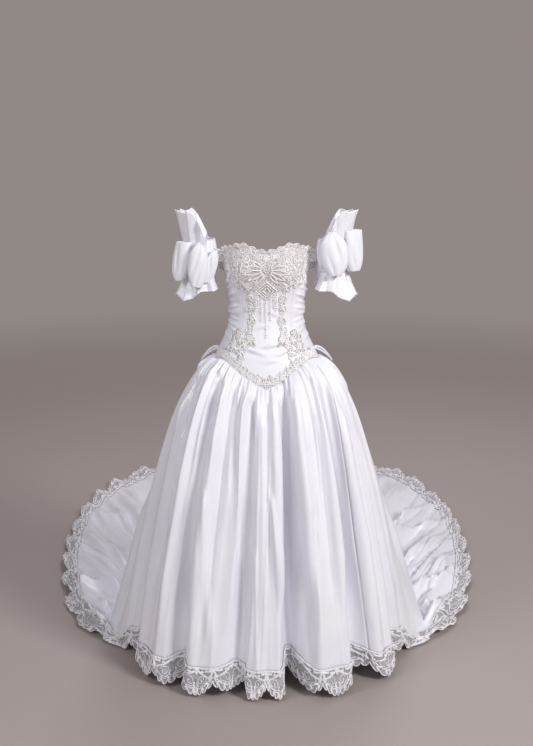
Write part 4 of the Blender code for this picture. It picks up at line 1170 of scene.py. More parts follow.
def bodice_sheet(name, azimuth, upper, lower, rows, lift, node, opened=None):
    """A sheet of beaded net between two lines on the bodice."""
    share = np.linspace(0, 1, rows + 1)[None, :]
    azimuth = azimuth[:, None]
    height = upper(azimuth) + (lower(azimuth) - upper(azimuth)) * share
    points = on_bodice(azimuth + 0 * share, height, lift)
    uv = np.stack([azimuth * METRES_PER_DEGREE + 0 * height, height], axis=-1)
    net = opened(azimuth + 0 * share, height) if opened else np.full(height.shape, 0.75)
    piece = cloth(
        name, points, BEADED_GROUND, BODICE_INSIDE, wall=NET_WALL, uv=uv,
        attributes={"open_net": net},
    )
    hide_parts(node)
    return piece


def leafy(azimuth, pitch, depth):
    """A leafy cut edge: rounded lobes of uneven size."""
    lobes = np.abs(np.sin(np.radians(azimuth * 180 / pitch))) ** 0.6
    return depth * lobes * (1 + 0.35 * np.sin(np.radians(azimuth * 31)))


def open_yoke(azimuth, height):
    """Where the yoke's net is open: inside the rays of the burst and in the diamond."""
    x, y = azimuth * 0.0019, height - BURST_HEIGHT
    total = np.full(x.shape, 0.38)
    for ray in RAYS:
        for side in (1, -1):
            c, s = math.cos(math.radians(ray.turn)), math.sin(math.radians(ray.turn))
            along, off = side * x * c + y * s, -side * x * s + y * c
            t = (along - ray.start) / (ray.reach - ray.start)
            half = ray.width / 2 * np.sin(math.pi * np.clip(t, 0, 1) ** 0.8)
            inside = 1 - ease(0.6, 1.1, np.abs(off) / np.maximum(half, 1e-4))
            total = np.maximum(total, np.where((t > 0) & (t < 1), inside, 0))
    across = np.abs(x) / DIAMOND_HALF[0] + np.abs(height - DIAMOND_HEIGHT) / DIAMOND_HALF[1]
    below = (1 - ease(0.8, 1.0, across)) * 0.9
    between = 0.55 * mound(np.hypot(x, y) / 0.060)
    return np.maximum(np.maximum(total, below), between)


def yoke_low(azimuth):
    return yoke_edge(azimuth) - leafy(azimuth, 7.3, 0.007) + 0.004


yoke = bodice_sheet(
    "yoke_lace", np.linspace(-YOKE_REACH, YOKE_REACH, 225), neckline, yoke_low, 32, NET_LIFT,
    "applique_yoke", open_yoke,
)

# %% The yoke's cords and pearls
Place = namedtuple("Place", "azimuth height turn size")
YOKE_SCROLLS = [
    Place(22, 0.186, 150, 0.011), Place(31, 0.168, 20, 0.012), Place(40, 0.176, 120, 0.010),
    Place(50, 0.160, -30, 0.012), Place(60, 0.172, 95, 0.010), Place(69, 0.156, 10, 0.011),
    Place(77, 0.166, 80, 0.008), Place(44, 0.134, 60, 0.012), Place(56, 0.134, 170, 0.010),
    Place(66, 0.134, 30, 0.009), Place(10, 0.194, 60, 0.008),
]
YOKE_LEAVES = [
    Place(14, 0.192, 60, 0.026), Place(27, 0.192, 20, 0.026), Place(37, 0.152, -40, 0.028),
    Place(55, 0.148, -70, 0.024), Place(64, 0.154, 30, 0.024), Place(73, 0.146, 70, 0.020),
    Place(41, 0.120, -20, 0.026), Place(52, 0.122, -160, 0.024), Place(61, 0.118, -110, 0.020),
]
YOKE_ROSETTES = [Place(41, 0.104, 0, 0.0095), Place(32, 0.110, 0, 0.007), Place(53, 0.110, 0, 0.007),
                 Place(65, 0.120, 0, 0.007), Place(58, 0.152, 0, 0.008)]
pearls, bugles, drops = Beadwork(), Beadwork(), Beadwork()
for azimuth in np.arange(SCALLOP_PITCH / 2, YOKE_REACH, SCALLOP_PITCH):
    edge = float(bodice_edge("neckline", azimuth))
    pearls.lay(shell(0.0105, 3), azimuth, edge - 0.007, both=True, cord=FINE_CORD)
    pearls.lay(rosette(0.0090), azimuth - SCALLOP_PITCH / 2, edge - 0.024, both=True, cord=0.0020)
    pearls.lay(turned(scroll(0.0070), 35), azimuth + 1, edge - 0.036, both=True, cord=CORD_WIDTH)
for place in YOKE_SCROLLS:
    pearls.lay(turned(scroll(place.size), place.turn), place.azimuth, place.height, both=True, cord=BOLD_CORD)
for place in YOKE_LEAVES:
    lines = turned(leaf(place.size, place.size * 0.46), place.turn)
    bugles.lay(lines, place.azimuth, place.height, both=True, cord=LEAF_CORD, beads=False)
for place in YOKE_ROSETTES:
    pearls.lay(rosette(place.size), place.azimuth, place.height, both=True, cord=FINE_CORD)
for ray in RAYS:
    outline = [line + [ray.start, 0] for line in leaf(ray.reach - ray.start, ray.width)]
    for turn in (ray.turn, 180 - ray.turn):
        lines = turned(outline, turn)
        bugles.lay(lines, 0.0, BURST_HEIGHT, bugle=1.9, size=0.0014, lift=HIGH_LIFT, cord=BOLD_CORD)
rings = [ring(0.0085, 1.5), ring(0.0052, 1.5)]
pearls.lay(rings, 0.0, BURST_HEIGHT + 0.006, size=0.0016, lift=HIGH_LIFT, cord=RING_CORD)
dot_heights = [BURST_HEIGHT + rise for rise in (0.002, 0.006, 0.010)]
pearls.dots([0, 0, 0], dot_heights, PEARL_SIZE, RING_LIFT)
wide, tall = DIAMOND_HALF
for scale in (1.0, 0.70, 0.36):
    corners = np.array([(0, tall), (wide, 0), (0, -tall), (-wide, 0), (0, tall)]) * scale
    lines = [corners[k : k + 2] for k in range(4)]
    bugles.lay(lines, 0.0, DIAMOND_HEIGHT, bugle=1.7, size=0.0014, lift=HIGH_LIFT, cord=BOLD_CORD)
Drop = namedtuple("Drop", "out top bottom")
DROPS = [
    Drop(0.030, 0.084, 0.030),
    Drop(0.023, 0.078, 0.038),
    Drop(0.013, 0.068, 0.000),
    Drop(0.0, 0.060, -0.050),
]
for drop in DROPS:
    for side in (1, -1) if drop.out else (1,):
        drops.lay([np.array([(side * drop.out, drop.top), (side * drop.out * 0.96, drop.bottom)])], 0.0, 0.0,
                  bugle=1.6, size=0.0018, lift=0.0044)
        azimuth = side * drop.out * 0.96 / 0.0019
        drops.dots([azimuth] * 3, [drop.bottom, drop.bottom + 0.007, drop.bottom + 0.024], 0.0028, 0.0045)
SEQUIN_SEED = 5
draw = np.random.default_rng(SEQUIN_SEED)
scatter, share = draw.uniform(-YOKE_REACH, YOKE_REACH, 700), draw.uniform(0.02, 1.0, 700)
scatter = scatter[np.abs(scatter) > 12]
share = share[: len(scatter)]
pearls.dots(scatter, neckline(scatter) + (yoke_edge(scatter) - neckline(scatter)) * share, 0.0015, 0.0028)
yoke_trim = pearls.make("yoke_pearls", PEARL) + bugles.make("yoke_bugles", CRYSTAL)
yoke_trim += drops.make("yoke_strings", PEARL)

# %% [markdown]
# Below the yoke, two leafy scrolls run down to the hips and a border follows the pointed waist. Both are
# cut-out motifs sewn on the satin, so their edges are lobed and the satin shows between them.

# %% Scrolls and the border of the point
BORDER_REACH = 64.8


def border_edge(azimuth):
    return bodice_edge("waist_seam", azimuth) + 0.028 + 0.007 * np.cos(np.radians(around_of(azimuth) * 12))


def scroll_middle(share):
    return 27 - 5 * np.sin(math.pi * share) + 6 * share**2


def border_top(azimuth):
    return border_edge(azimuth) - 0.013 + leafy(azimuth, 6.1, 0.013)


border = bodice_sheet(
    "border_lace", np.linspace(-BORDER_REACH, BORDER_REACH, 221), border_top,
    lambda azimuth: bodice_edge("waist_seam", azimuth), 12, NET_LIFT, "applique_border",
)
for side, label in ((1, "left"), (-1, "right")):
    level = np.linspace(0.02, 0.98, 111)[:, None]
    sway = np.linspace(-1, 1, 11)[None, :]
    centre = side * scroll_middle(level)
    upper, lower = yoke_edge(centre) - 0.002, border_edge(centre)
    lobes = 2.6 + 3.0 * np.abs(np.sin(math.pi * level * 7)) + 1.0 * np.sin(level * 29)
    azimuth = centre + lobes * sway
    height = upper + (lower - upper) * level + 0 * sway
    uv = np.stack([azimuth * METRES_PER_DEGREE, height], axis=-1)
    points = on_bodice(azimuth, height, NET_LIFT)
    piece = cloth(
        f"scroll_lace_{label}", points, BEADED_GROUND, BODICE_INSIDE,
        wall=NET_WALL, uv=uv, attributes={"open_net": 0.25 + 0 * height},
    )
    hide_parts(f"applique_scroll_{label}")
scroll_pearls, scroll_bugles = Beadwork(), Beadwork()
for number in range(8):
    share = (number + 0.4) / 8
    azimuth = float(scroll_middle(share))
    height = float(yoke_edge(azimuth) + (border_edge(azimuth) - yoke_edge(azimuth)) * share)
    turn, flip = (55, 1) if number % 2 else (125, -1)
    leaf_lines = turned(leaf(0.023, 0.0120), turn - 180)
    scroll_bugles.lay(leaf_lines, azimuth, height, both=True, cord=CORD_WIDTH, beads=False)
    scroll_pearls.lay(turned(scroll(0.0075), turn, flip), azimuth, height, both=True, cord=0.0034)
HIP_ROSETTES = [Place(42, -0.042, 0, 0.0100), Place(36, -0.058, 0, 0.0065), Place(20, -0.057, 0, 0.0080),
                Place(45, -0.076, 0, 0.0065)]
for place in HIP_ROSETTES:
    flower = rosette(place.size * 1.15)
    scroll_pearls.lay(flower, place.azimuth, place.height, both=True, cord=PETAL_CORD)
    scroll_pearls.back(flower, place.azimuth, place.height)
    for turn, shift, long in ((-60, 1, 0.024), (-120, -1, 0.019)):
        leaf_lines = turned(leaf(long, long * 0.48), turn)
        azimuth, height = place.azimuth + shift, place.height - 0.006
        scroll_bugles.lay(leaf_lines, azimuth, height, both=True, cord=CORD_WIDTH, beads=False)
        scroll_bugles.back(leaf_lines, azimuth, height)
HIP_SCROLLS = [Place(47, -0.062, 100, 0.009), Place(47, -0.092, 250, 0.010), Place(52, -0.108, 60, 0.008)]
for place in HIP_SCROLLS:
    curl = turned(scroll(place.size), place.turn)
    leaf_lines = turned(leaf(0.024, 0.0115), place.turn - 60)
    scroll_pearls.lay(curl, place.azimuth, place.height, both=True, cord=0.0036)
    scroll_bugles.lay(leaf_lines, place.azimuth, place.height, both=True, cord=CORD_WIDTH, beads=False)
    scroll_pearls.back(curl, place.azimuth, place.height)
    scroll_bugles.back(leaf_lines, place.azimuth, place.height)

border_pearls, border_bugles = Beadwork(), Beadwork()
for number, azimuth in enumerate(np.linspace(4, 60, 8)):
    seam = float(bodice_edge("waist_seam", azimuth))
    slope = math.degrees(math.atan2(float(bodice_edge("waist_seam", azimuth + 2)) - seam, 2 * 0.0021))
    for turn, long, rise in ((38, 0.027, 0.007), (150, 0.020, 0.013)):
        leaf_lines = turned(leaf(long, long * 0.5), slope + turn)
        border_bugles.lay(leaf_lines, azimuth, seam + rise, both=True, cord=CORD_WIDTH, beads=False)
    border_bugles.lay([np.array([(0.002, 0.0), (0.022, 0.0)])], azimuth, seam + 0.009, both=True, bugle=2.0)
    flower = rosette(0.0075 if number % 3 else 0.010)
    border_pearls.lay(flower, azimuth + 3.6, seam + 0.017, both=True, cord=PETAL_CORD)
EDGE_LOOPS = 36
for azimuth in np.linspace(-64, 64, EDGE_LOOPS):
    seam = float(bodice_edge("waist_seam", azimuth))
    border_pearls.lay(turned(shell(0.0046, 1), 180), azimuth, seam + 0.0012, cord=LEAF_CORD, beads=False)
    border_pearls.lay(shell(0.0046, 1), azimuth, seam + 0.0020, cord=LEAF_CORD, beads=False)
for rise, count in ((0.0008, 120), (0.0060, 90)):
    azimuth = np.linspace(-64, 64, count)
    border_pearls.dots(azimuth, bodice_edge("waist_seam", azimuth) + rise, 0.0017, 0.0034)
scroll_trim = scroll_pearls.make("scroll_pearls", PEARL) + scroll_bugles.make("scroll_bugles", CRYSTAL)
border_trim = border_pearls.make("border_pearls", PEARL) + border_bugles.make("border_bugles", CRYSTAL)

# %% [markdown]
# Lace like this is a fine net with a corded pattern on it: each scallop holds a window of bare net inside a
# double cord, two curls in the window, a flower at the satin's edge and leafy petals on the outer edge. The
# net is a cloth piece whose material is see-through where the net is bare. The cords and leaves are real
# raised shapes.

# %% Lace finishes
def lace_look(name, net, thread):
    """Fine net, see-through in its holes, and solid where the density says that threads fill it. The bare
    net's grey is partly its own tone and partly painted shade.
    """
    look, tree, shader = new_look(name)
    shader.inputs["Sheen Weight"].default_value = 0.3
    shader.inputs["Roughness"].default_value = 0.5
    uv = node_of(tree, "ShaderNodeUVMap", uv_map="UVMap")
    cells = node_of(tree, "ShaderNodeTexVoronoi", Scale=420.0, feature="DISTANCE_TO_EDGE", Randomness=0.25)
    mesh_threads = node_of(tree, "ShaderNodeMapRange", From_Min=0.10, From_Max=0.24, To_Min=1.0, To_Max=0.42)
    filled = node_of(tree, "ShaderNodeAttribute", attribute_name="density")
    alpha = node_of(tree, "ShaderNodeMath", operation="MAXIMUM")
    stitches = node_of(tree, "ShaderNodeTexVoronoi", Scale=150.0)
    fill_tone = node_of(tree, "ShaderNodeMix", data_type="RGBA")
    fill_tone.inputs["A"].default_value = (*thread, 1)
    fill_tone.inputs["B"].default_value = (*(value * 0.74 for value in thread), 1)
    # Bare net takes the net colour: a grey that is partly the net's own tone and partly painted shade of the
    # floor and satin seen through it.
    shades = node_of(tree, "ShaderNodeMix", data_type="RGBA")
    shades.inputs["A"].default_value = (*net, 1)
    bump = node_of(tree, "ShaderNodeBump", Strength=0.7, Distance=0.0014)
    wire(tree, (uv.outputs[0], cells.inputs["Vector"]), (uv.outputs[0], stitches.inputs["Vector"]))
    wire(tree, (cells.outputs["Distance"], mesh_threads.inputs["Value"]))
    wire(tree, (mesh_threads.outputs[0], alpha.inputs[0]))
    wire(tree, (filled.outputs["Fac"], alpha.inputs[1]), (alpha.outputs[0], shader.inputs["Alpha"]))
    wire(tree, (stitches.outputs["Distance"], fill_tone.inputs["Factor"]))
    wire(tree, (filled.outputs["Fac"], shades.inputs["Factor"]))
    wire(tree, (fill_tone.outputs["Result"], shades.inputs["B"]))
    wire(tree, (shades.outputs["Result"], shader.inputs["Base Color"]))
    wire(tree, (stitches.outputs["Distance"], bump.inputs["Height"]))
    wire(tree, (bump.outputs["Normal"], shader.inputs["Normal"]))
    return look


# The net colour is partly the net's own tone and partly painted shade, darker than the white thread, for the
# shadowed floor and satin seen through bare net.
NET = lace_look("lace_net_painted_shade", (0.48, 0.465, 0.51), (0.90, 0.895, 0.94))
CORD = cord_look("lace_cord", (0.88, 0.875, 0.92))

# %% One scallop's pattern
FRONT_SCALLOP, TRAIN_SCALLOP = 6, 3
PETALS = 7
LACE_OVERLAP = 0.07
LACE_LIFT, LACE_WALL = 0.0016, 0.0008


def scallop(column):
    """Share of the lace's depth that a column reaches: a large scallop with petals along it."""
    pitch = np.where(column % ALL_COLUMNS < FRONT_COLUMNS, FRONT_SCALLOP, TRAIN_SCALLOP)
    share = (column % ALL_COLUMNS) / pitch % 1.0
    petals = 0.90 + 0.10 * np.abs(np.sin(PETALS * math.pi * share)) ** 0.55
    return (0.52 + 0.48 * np.sin(math.pi * share) ** 0.8) * petals


def scallop_strands():
    """The cords and leaves of one scallop.

    x runs from -0.5 to 0.5 along the edge, and y from 0 at the satin to 1 at the tips.
    """
    made = []
    turn = np.linspace(0, 1, 30)
    heart_x, heart_y = 0.41 * np.sin(turn * math.pi * 0.96) ** 0.8, 0.80 - 0.66 * turn**1.3
    curl = np.linspace(0, 2 * math.pi * 1.15, 30)
    for side in (-1, 1):
        for size, width in ((1.0, 0.0054), (0.84, 0.0028)):
            half = np.stack([side * heart_x * size, 0.18 + (heart_y - 0.18) * size], axis=1)
            made += [Strand(half[a : a + 11], width, 0.0040) for a in (0, 10, 19)]
        radius = 0.115 * (1 - 0.75 * curl / curl[-1])
        line = np.stack([side * (0.155 + radius * np.cos(curl)), 0.46 - 1.7 * radius * np.sin(curl)], axis=1)
        made += [Strand(line[a : a + 11], 0.0030, 0.0030) for a in (0, 10, 19)]
        leaves = (
            ([(0.0, 0.74), (side * 0.07, 0.64), (side * 0.04, 0.50)], 0.0060),
            ([(side * 0.05, 0.10), (side * 0.15, 0.17), (side * 0.24, 0.12)], 0.0100),
            ([(side * 0.28, 0.10), (side * 0.38, 0.14), (side * 0.46, 0.06)], 0.0100),
            ([(side * 0.50, 0.06), (side * 0.44, 0.34), (side * 0.485, 0.66)], 0.0090),
            ([(side * 0.40, 0.34), (side * 0.46, 0.50), (side * 0.42, 0.74)], 0.0070),
            ([(side * 0.30, 0.62), (side * 0.40, 0.74), (side * 0.36, 0.93)], 0.0090),
            ([(side * 0.16, 0.74), (side * 0.25, 0.84), (side * 0.20, 0.97)], 0.0100),
            ([(side * 0.08, 0.80), (side * 0.02, 0.90), (side * 0.06, 0.985)], 0.0085),
        )
        made += [Strand(line, width, 0.0036) for line, width in leaves]
        for start in (0.0, 0.125, 0.25, 0.375):
            arch = [(side * start, -0.03), (side * (start + 0.06), 0.04), (side * (start + 0.125), -0.03)]
            made.append(Strand(arch, 0.0044, 0.0036))
            top = [(side * start, -0.055), (side * (start + 0.126), -0.055)]
            made.append(Strand(top, 0.0060, 0.0044))
    for step in range(PETALS):
        x = (step + 0.5) / PETALS - 0.5
        lean = 0.030 * (-1) ** step
        made.append(Strand([(x - 0.070, 0.88), (x - 0.04, 0.975), (x + lean, 0.99)], 0.0040, 0.0034))
        made.append(Strand([(x + 0.070, 0.88), (x + 0.04, 0.975), (x + lean, 0.99)], 0.0040, 0.0034))
    for angle in np.linspace(0, 2 * math.pi, 6)[:-1] + 0.3:
        tip = (0.065 * math.cos(angle), 0.09 + 0.125 * math.sin(angle))
        made.append(Strand([(0.1 * tip[0], 0.09 + 0.1 * (tip[1] - 0.09)), tip], 0.0110, 0.0044))
    return made


SCALLOP = scallop_strands()


def density(x, y):
    """How solid the lace is, 0 bare net and 1 full of thread, by place in a scallop."""
    window = mound(np.clip(np.hypot(x / 0.45, (y - 0.46) / 0.40), 0, 1) ** 1.9)
    return 1 - ease(0.08, 0.34, window)


def on_grid(points, normals, column, row):
    """Points and normals between the crossings of a grid, by column and row number."""
    i = np.clip(np.floor(column).astype(int), 0, points.shape[0] - 2)
    j = np.clip(np.floor(row).astype(int), 0, points.shape[1] - 2)
    a, b = (column - i)[..., None], (row - j)[..., None]
    both = []
    for grid in (points, normals):
        top = grid[i, j] * (1 - a) + grid[i + 1, j] * a
        bottom = grid[i, j + 1] * (1 - a) + grid[i + 1, j + 1] * a
        both.append(top * (1 - b) + bottom * b)
    return both


# %% The lace edging and its relief
LACE_ROWS = 16
LACE_EACH = {"front": 7, "side_left": 9, "back_left": 12, "back_right": 12, "side_right": 9}
for label, start, end, _ in GORES:
    each = LACE_EACH[label]
    columns = fine(start, end, each)
    depth = np.linspace(0, 1, LACE_ROWS + 1)[None, :]
    set_back = lace_set_back(columns)[:, None]
    below = depth * (scallop(columns[:, None]) + LACE_OVERLAP) - LACE_OVERLAP
    fall = below * (LACE_DEPTH + set_back) - set_back
    reach = 1 + np.where(fall < 0, fall / TYPICAL_FALL, fall / LACE_DEPTH)
    points = dressed_skirt(columns, reach)
    normals = normals_of(points, SKIRT_INSIDE)
    points = points + normals * LACE_LIFT
    pitch = np.where(columns % ALL_COLUMNS < FRONT_COLUMNS, FRONT_SCALLOP, TRAIN_SCALLOP)
    place_x = columns % ALL_COLUMNS / pitch % 1.0 - 0.5
    solid = density(place_x[:, None], depth + 0 * place_x[:, None])
    piece = cloth(
        f"lace_edge_{label}", points, NET, SKIRT_INSIDE, wall=LACE_WALL, attributes={"density": solid}
    )
    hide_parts(f"lace_{label}")
    strands, column = [], start
    while column < end:
        wide = FRONT_SCALLOP if column % ALL_COLUMNS < FRONT_COLUMNS else TRAIN_SCALLOP
        for strand in SCALLOP:
            line = np.array(strand.line)
            at = ((column - start) + (line[:, 0] + 0.5) * wide) * each
            row = LACE_OVERLAP + (1 - LACE_OVERLAP) * np.clip(line[:, 1], -0.06, 1)
            strands.append(Strand(np.stack([at, row * LACE_ROWS], axis=1), strand.width, strand.height))
        column += wide

    def place_on_lace(x, y, points=points, normals=normals):
        return on_grid(points, normals, x, y)

    cords = relief(f"lace_cords_{label}", strands, place_on_lace, CORD)
    print(piece.name, len(strands), "cords and leaves")

# %% [markdown]
# Each sleeve is a gathered band round the upper arm with a wide ribbon tied over it. The ribbon stands up
# above the band as a pleated fan, hangs below it as pleated tails, and its loops lie in front like the
# petals of a tulip. Knife pleats are sharp, so they are drawn as a triangle wave and not as a sine.

# %% Sleeve sizes
ARM_OUT, BAND_TOP, BAND_BOTTOM = 0.198, 0.235, 0.100
BAND_RADIUS, BAND_PUFF, FRILL_SEAT = 0.043, 0.0075, 0.0017
Loop = namedtuple(
    "Loop", "name top_out bottom_out forward turn width depth top bottom top_share bottom_share"
)
BOW_LOOPS_LEFT = [
    Loop("outer", 0.2580, 0.2620, 0.0345, 26, 0.062, 0.036, 0.263, 0.141, 0.88, 0.62),
    Loop("centre", 0.1930, 0.2060, 0.0716, 2, 0.084, 0.042, 0.261, 0.130, 0.26, 0.40),
    Loop("inner", 0.1620, 0.1660, 0.0463, -34, 0.032, 0.020, 0.236, 0.158, 0.34, 0.44),
]
BOW_LOOPS_RIGHT = [
    Loop("outer", 0.2448, 0.2608, 0.0472, 26, 0.060, 0.036, 0.229, 0.113, 0.84, 0.42),
    Loop("centre", 0.1970, 0.2080, 0.0779, 4, 0.060, 0.038, 0.229, 0.097, 0.20, 0.52),
    Loop("inner", 0.1560, 0.1800, 0.0585, -26, 0.046, 0.024, 0.204, 0.108, 0.30, 0.34),
]
Strap = namedtuple("Strap", "azimuth top bottom arm_azimuth arm_top arm_bottom start_gap end_gap")
STRAPS = {
    "front": Strap(70, 0.205, 0.165, 36, 0.213, 0.170, 0.0028, -0.0005),
    "back": Strap(112, 0.163, 0.122, -28, 0.186, 0.147, 0.0005, -0.0003),
}


def band_radius(height):
    span = (height - BAND_BOTTOM) / (BAND_TOP - BAND_BOTTOM)
    return BAND_RADIUS + BAND_PUFF * np.sin(math.pi * np.clip(span, 0, 1))


def arm_point(side, azimuth, radius, height):
    """A point round the arm. Azimuth is 0 towards the body, 90 to the front and 180 outwards."""
    turn = np.radians(azimuth)
    x = side * (ARM_OUT - radius * np.cos(turn))
    return np.stack([x, -radius * np.sin(turn), height + 0 * x], axis=-1)


def outward(azimuth):
    """0 where the frills start beside the body and 1 on the outer side of the arm."""
    return ease(68, 112, azimuth) * (1 - ease(248, 292, azimuth))


def pleat(x):
    """A knife pleat, 0 to 1: a slow rise and a quick fall."""
    share = x % 1.0
    return np.where(share < 0.72, share / 0.72, (1 - share) / 0.28)


def mesh_of(start, end, columns, rows):
    azimuth = np.linspace(start, end, columns + 1)[:, None]
    share = np.linspace(0, 1, rows + 1)[None, :]
    return azimuth + 0 * share, share + 0 * azimuth


# %% Bands, fans and tails
for label, side in (("left", 1), ("right", -1)):
    arm = (side * ARM_OUT, 0, 0.17)
    azimuth, share = mesh_of(3, 363, 140, 16)
    height = BAND_BOTTOM + (BAND_TOP - BAND_BOTTOM) * share
    waver = 40 * np.sin(share * 5 + azimuth * 0.03)
    gathers = 0.0012 * np.sin(np.radians(azimuth * 23 + waver)) * (0.4 + 0.6 * share)
    points = arm_point(side, azimuth, band_radius(height) + gathers - 0.0008, height)
    band = cloth(f"sleeve_cuff_{label}", points, SATIN, arm)
    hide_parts(f"sleeve_band_{label}")

    azimuth, share = mesh_of(68, 292, 126, 18)
    out = outward(azimuth)
    step = (azimuth - 68) / 32.0
    fold = pleat(step + 0.10 * share)
    low = 0.204
    rise = (0.034 + 0.084 * out) * (0.94 + 0.06 * pleat(step + 0.12))
    height = low + rise * share
    radius = (
        band_radius(np.float64(low)) + FRILL_SEAT + 0.0004 + 0.014 * share**1.6 * (0.4 + 0.6 * out)
        + (0.002 + 0.014 * share) * fold * ease(0.0, 0.25, share + 0.1)
        + 0.0016 * np.sin(7 * share + azimuth * 0.2) * share
    )
    fan = cloth(f"sleeve_fan_{label}", arm_point(side, azimuth, radius, height), SATIN, arm)
    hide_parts(f"sleeve_frill_upper_{label}")

    azimuth, share = mesh_of(40, 320, 144, 16)
    out = outward(azimuth)
    step = (azimuth - 40) / 35.0
    fold = pleat(step + 0.15 * share)
    height = 0.138 - (0.055 + 0.032 * out) * (0.78 + 0.24 * pleat(step * 0.5 + 0.3)) * share
    radius = (
        band_radius(np.float64(0.145)) + FRILL_SEAT + 0.0004 + 0.016 * share**2
        + (0.0015 + 0.0135 * share) * fold * ease(0.0, 0.25, share + 0.1)
    )
    tails = cloth(f"sleeve_tails_{label}", arm_point(side, azimuth, radius, height), SATIN, arm)
    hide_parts(f"sleeve_frill_lower_{label}")
print("sleeve bands, fans and tails made")

# %% The bow's loops
LOOP_SEED = 21
draw = np.random.default_rng(LOOP_SEED)
for label, side, loops in (("left", 1, BOW_LOOPS_LEFT), ("right", -1, BOW_LOOPS_RIGHT)):
    for loop in loops:
        azimuth, share = mesh_of(180, 540, 72, 36)
        ends = loop.bottom_share + (loop.top_share - loop.bottom_share) * share
        full = ends + (1 - ends) * (1 - np.abs(2 * share - 1) ** 2.6)
        around = np.radians(azimuth)
        slant = draw.uniform(-0.6, 0.6)
        phase = draw.uniform(0, 6)
        line = np.sin(around) + slant * (2 * share - 1)
        crease = 0.0036 * mound((line - 0.25) / 0.30) * mound((share - 0.62) / 0.55)
        crease = crease + 0.0028 * mound((line + 0.40) / 0.26) * mound((share - 0.18) / 0.45)
        pinch = np.abs(2 * share - 1) ** 4 * (1 - ends)
        gathers = 0.0014 * pinch * np.sin(around * 5 + phase)
        facing = np.cos(around)
        wide = loop.width / 2 * full * np.sign(np.sin(around)) * np.abs(np.sin(around)) ** 0.92
        plump = loop.depth / 2 * (0.45 + 0.55 * full) - crease + gathers
        thick = plump * np.sign(facing) * np.abs(facing) ** 0.85
        turn = math.radians(loop.turn)
        out = loop.bottom_out + (loop.top_out - loop.bottom_out) * share
        x = side * (out + wide * math.cos(turn) + thick * math.sin(turn))
        y = -loop.forward + wide * math.sin(turn) - thick * math.cos(turn)
        height = loop.bottom + (loop.top - loop.bottom) * share + 0.003 * np.sin(around) * slant
        middle = (side * (loop.top_out + loop.bottom_out) / 2, -loop.forward, (loop.top + loop.bottom) / 2)
        points = np.stack([x, y, height], axis=-1)
        petal = cloth(f"bow_petal_{loop.name}_{label}", points, SATIN, middle)
        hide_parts(f"bow_loop_{loop.name}_{label}")
print("bow loops:", len(BOW_LOOPS_LEFT) + len(BOW_LOOPS_RIGHT))

# %% Gathered links from the bodice to the sleeves
# The links' net is painted paler than the yoke's. This is painted light that offsets the shade falling
# between the bodice and the sleeves.
LINK_LACE_PAINTED_LIGHT = beaded_ground("beaded_link_lace_painted_light", (0.66, 0.63, 0.63), (0.96, 0.95, 0.97))
for label, side in (("left", 1), ("right", -1)):
    for place, strap in STRAPS.items():
        reach, down = mesh_of(0, 1, 24, 44)
        start_height = strap.top + (strap.bottom - strap.top) * down
        end_height = strap.arm_top + (strap.arm_bottom - strap.arm_top) * down
        start = bodice_surface(side * strap.azimuth + 0 * reach, start_height)
        end = arm_point(side, strap.arm_azimuth + 0 * reach, band_radius(end_height), end_height)
        away = (end - start) / np.linalg.norm(end - start, axis=-1, keepdims=True)
        start, end = start + away * strap.start_gap, end - away * strap.end_gap
        points = start + (end - start) * reach[..., None]
        ruffle = 0.0016 * np.cos(9 * math.pi * down + 2 * reach)
        ruffle = ruffle + 0.0008 * np.cos(23 * math.pi * down + 5 * reach)
        points[..., 1] += ruffle * np.sin(math.pi * reach) ** 0.6
        points[..., 2] += 0.004 * np.sin(math.pi * reach) * (down - 0.5)
        link = cloth(
            f"sleeve_link_{place}_{label}", points, LINK_LACE_PAINTED_LIGHT, (0, 0, 0.17), wall=LACE_WALL,
            attributes={"open_net": 0 * down},
        )
        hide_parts(f"strap_{place}_{label}")
print("sleeve links:", 2 * len(STRAPS))

# %% [markdown]
# Satin-covered buttons are small domes with the cloth pulled round them. A sphere is pressed flat and
# creased towards its rim, where the cloth turns under.

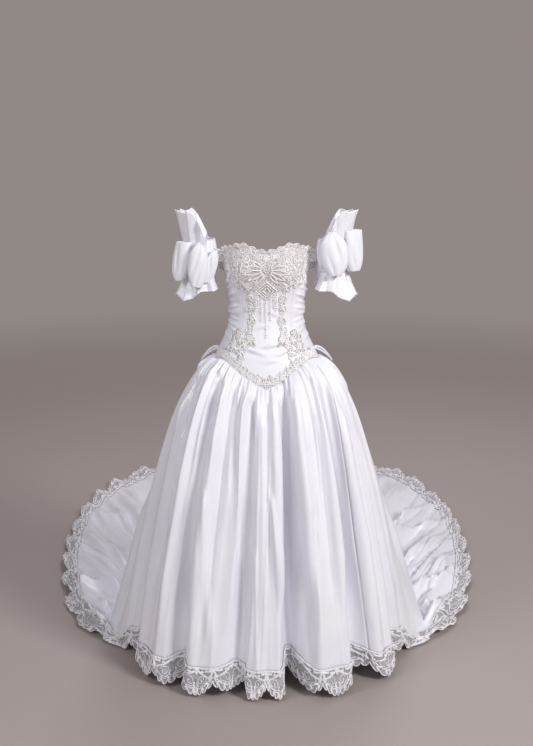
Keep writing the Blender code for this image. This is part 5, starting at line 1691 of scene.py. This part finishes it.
# %% Buttons down the centre back
BUTTON_RADIUS, BUTTON_TOP, BUTTON_PITCH, BUTTON_AZIMUTH = 0.0055, 0.150, 0.034, 176.0
BUTTON_SATIN = cord_look("button_satin", (0.86, 0.855, 0.89))
BUTTON_SEATS = (-0.0002, -0.0001, 0.0002, 0.0001, 0.0012, 0.0009, 0.0006, 0.0005)
for number, seat in enumerate(BUTTON_SEATS):
    at = bodice_surface(np.float64(BUTTON_AZIMUTH), np.float64(BUTTON_TOP - number * BUTTON_PITCH))
    bm = bmesh.new()
    bmesh.ops.create_uvsphere(bm, u_segments=24, v_segments=12, radius=BUTTON_RADIUS)
    bmesh.ops.rotate(bm, matrix=Matrix.Rotation(math.radians(90), 3, "X"), verts=bm.verts[:])
    bmesh.ops.scale(bm, vec=Vector((1, 0.6, 1)), verts=bm.verts[:])
    for vert in bm.verts:
        away = math.hypot(vert.co.x, vert.co.z) / BUTTON_RADIUS
        fold = 0.00012 * math.sin(18 * math.atan2(vert.co.z, vert.co.x)) * away**2
        vert.co += vert.co.normalized() * fold
    bmesh.ops.translate(bm, vec=Vector(at) + Vector((0, BUTTON_RADIUS * 0.6 + seat, 0)), verts=bm.verts[:])
    mesh = bpy.data.meshes.new(f"covered_button_{number + 1}")
    bm.to_mesh(mesh)
    bm.free()
    mesh.shade_smooth()
    button = keep(mesh.name, mesh, BUTTON_SATIN)
    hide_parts(f"back_button_{number + 1}")
print("buttons:", len(BUTTON_SEATS))

# %% [markdown]
# A heavy dress is hung up by narrow ribbon loops sewn in at the hips. Each is one strip of satin along a
# rounded route, with its edges curled a little.

# %% Hanging loops at the hips
HANGER_ROUTE = [
    (0.1490, 0.000, -0.0950),
    (0.1620, 0.002, -0.0960),
    (0.1780, 0.006, -0.1060),
    (0.1930, 0.012, -0.1250),
    (0.2050, 0.022, -0.1440),
    (0.2060, 0.036, -0.1480),
    (0.1930, 0.047, -0.1340),
    (0.1720, 0.050, -0.1180),
    (0.1470, 0.0485, -0.1080),
]
RIBBON_WIDTH, RIBBON_WALL = 0.0055, 0.0009
for label, side in (("left", 1), ("right", -1)):
    route = cut_corners(np.array(HANGER_ROUTE) * (side, 1, 1), rounds=3)
    share, across_ribbon = mesh_of(0.004, 0.996, 64, 4)
    places = np.linspace(0, 1, len(route))
    points = np.stack([np.interp(share, places, route[:, axis]) for axis in range(3)], axis=-1)
    points[..., 2] += RIBBON_WIDTH * (across_ribbon - 0.5)
    curl = 0.0009 * (2 * across_ribbon - 1) ** 2
    inside = (side * 0.178, 0.025, -0.12)
    points += normals_of(points, inside) * curl[..., None]
    loop_piece = cloth(f"ribbon_loop_{label}", points, SATIN, inside, wall=RIBBON_WALL)
    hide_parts(f"hanging_loop_{label}")
print("hanging loops: 2")
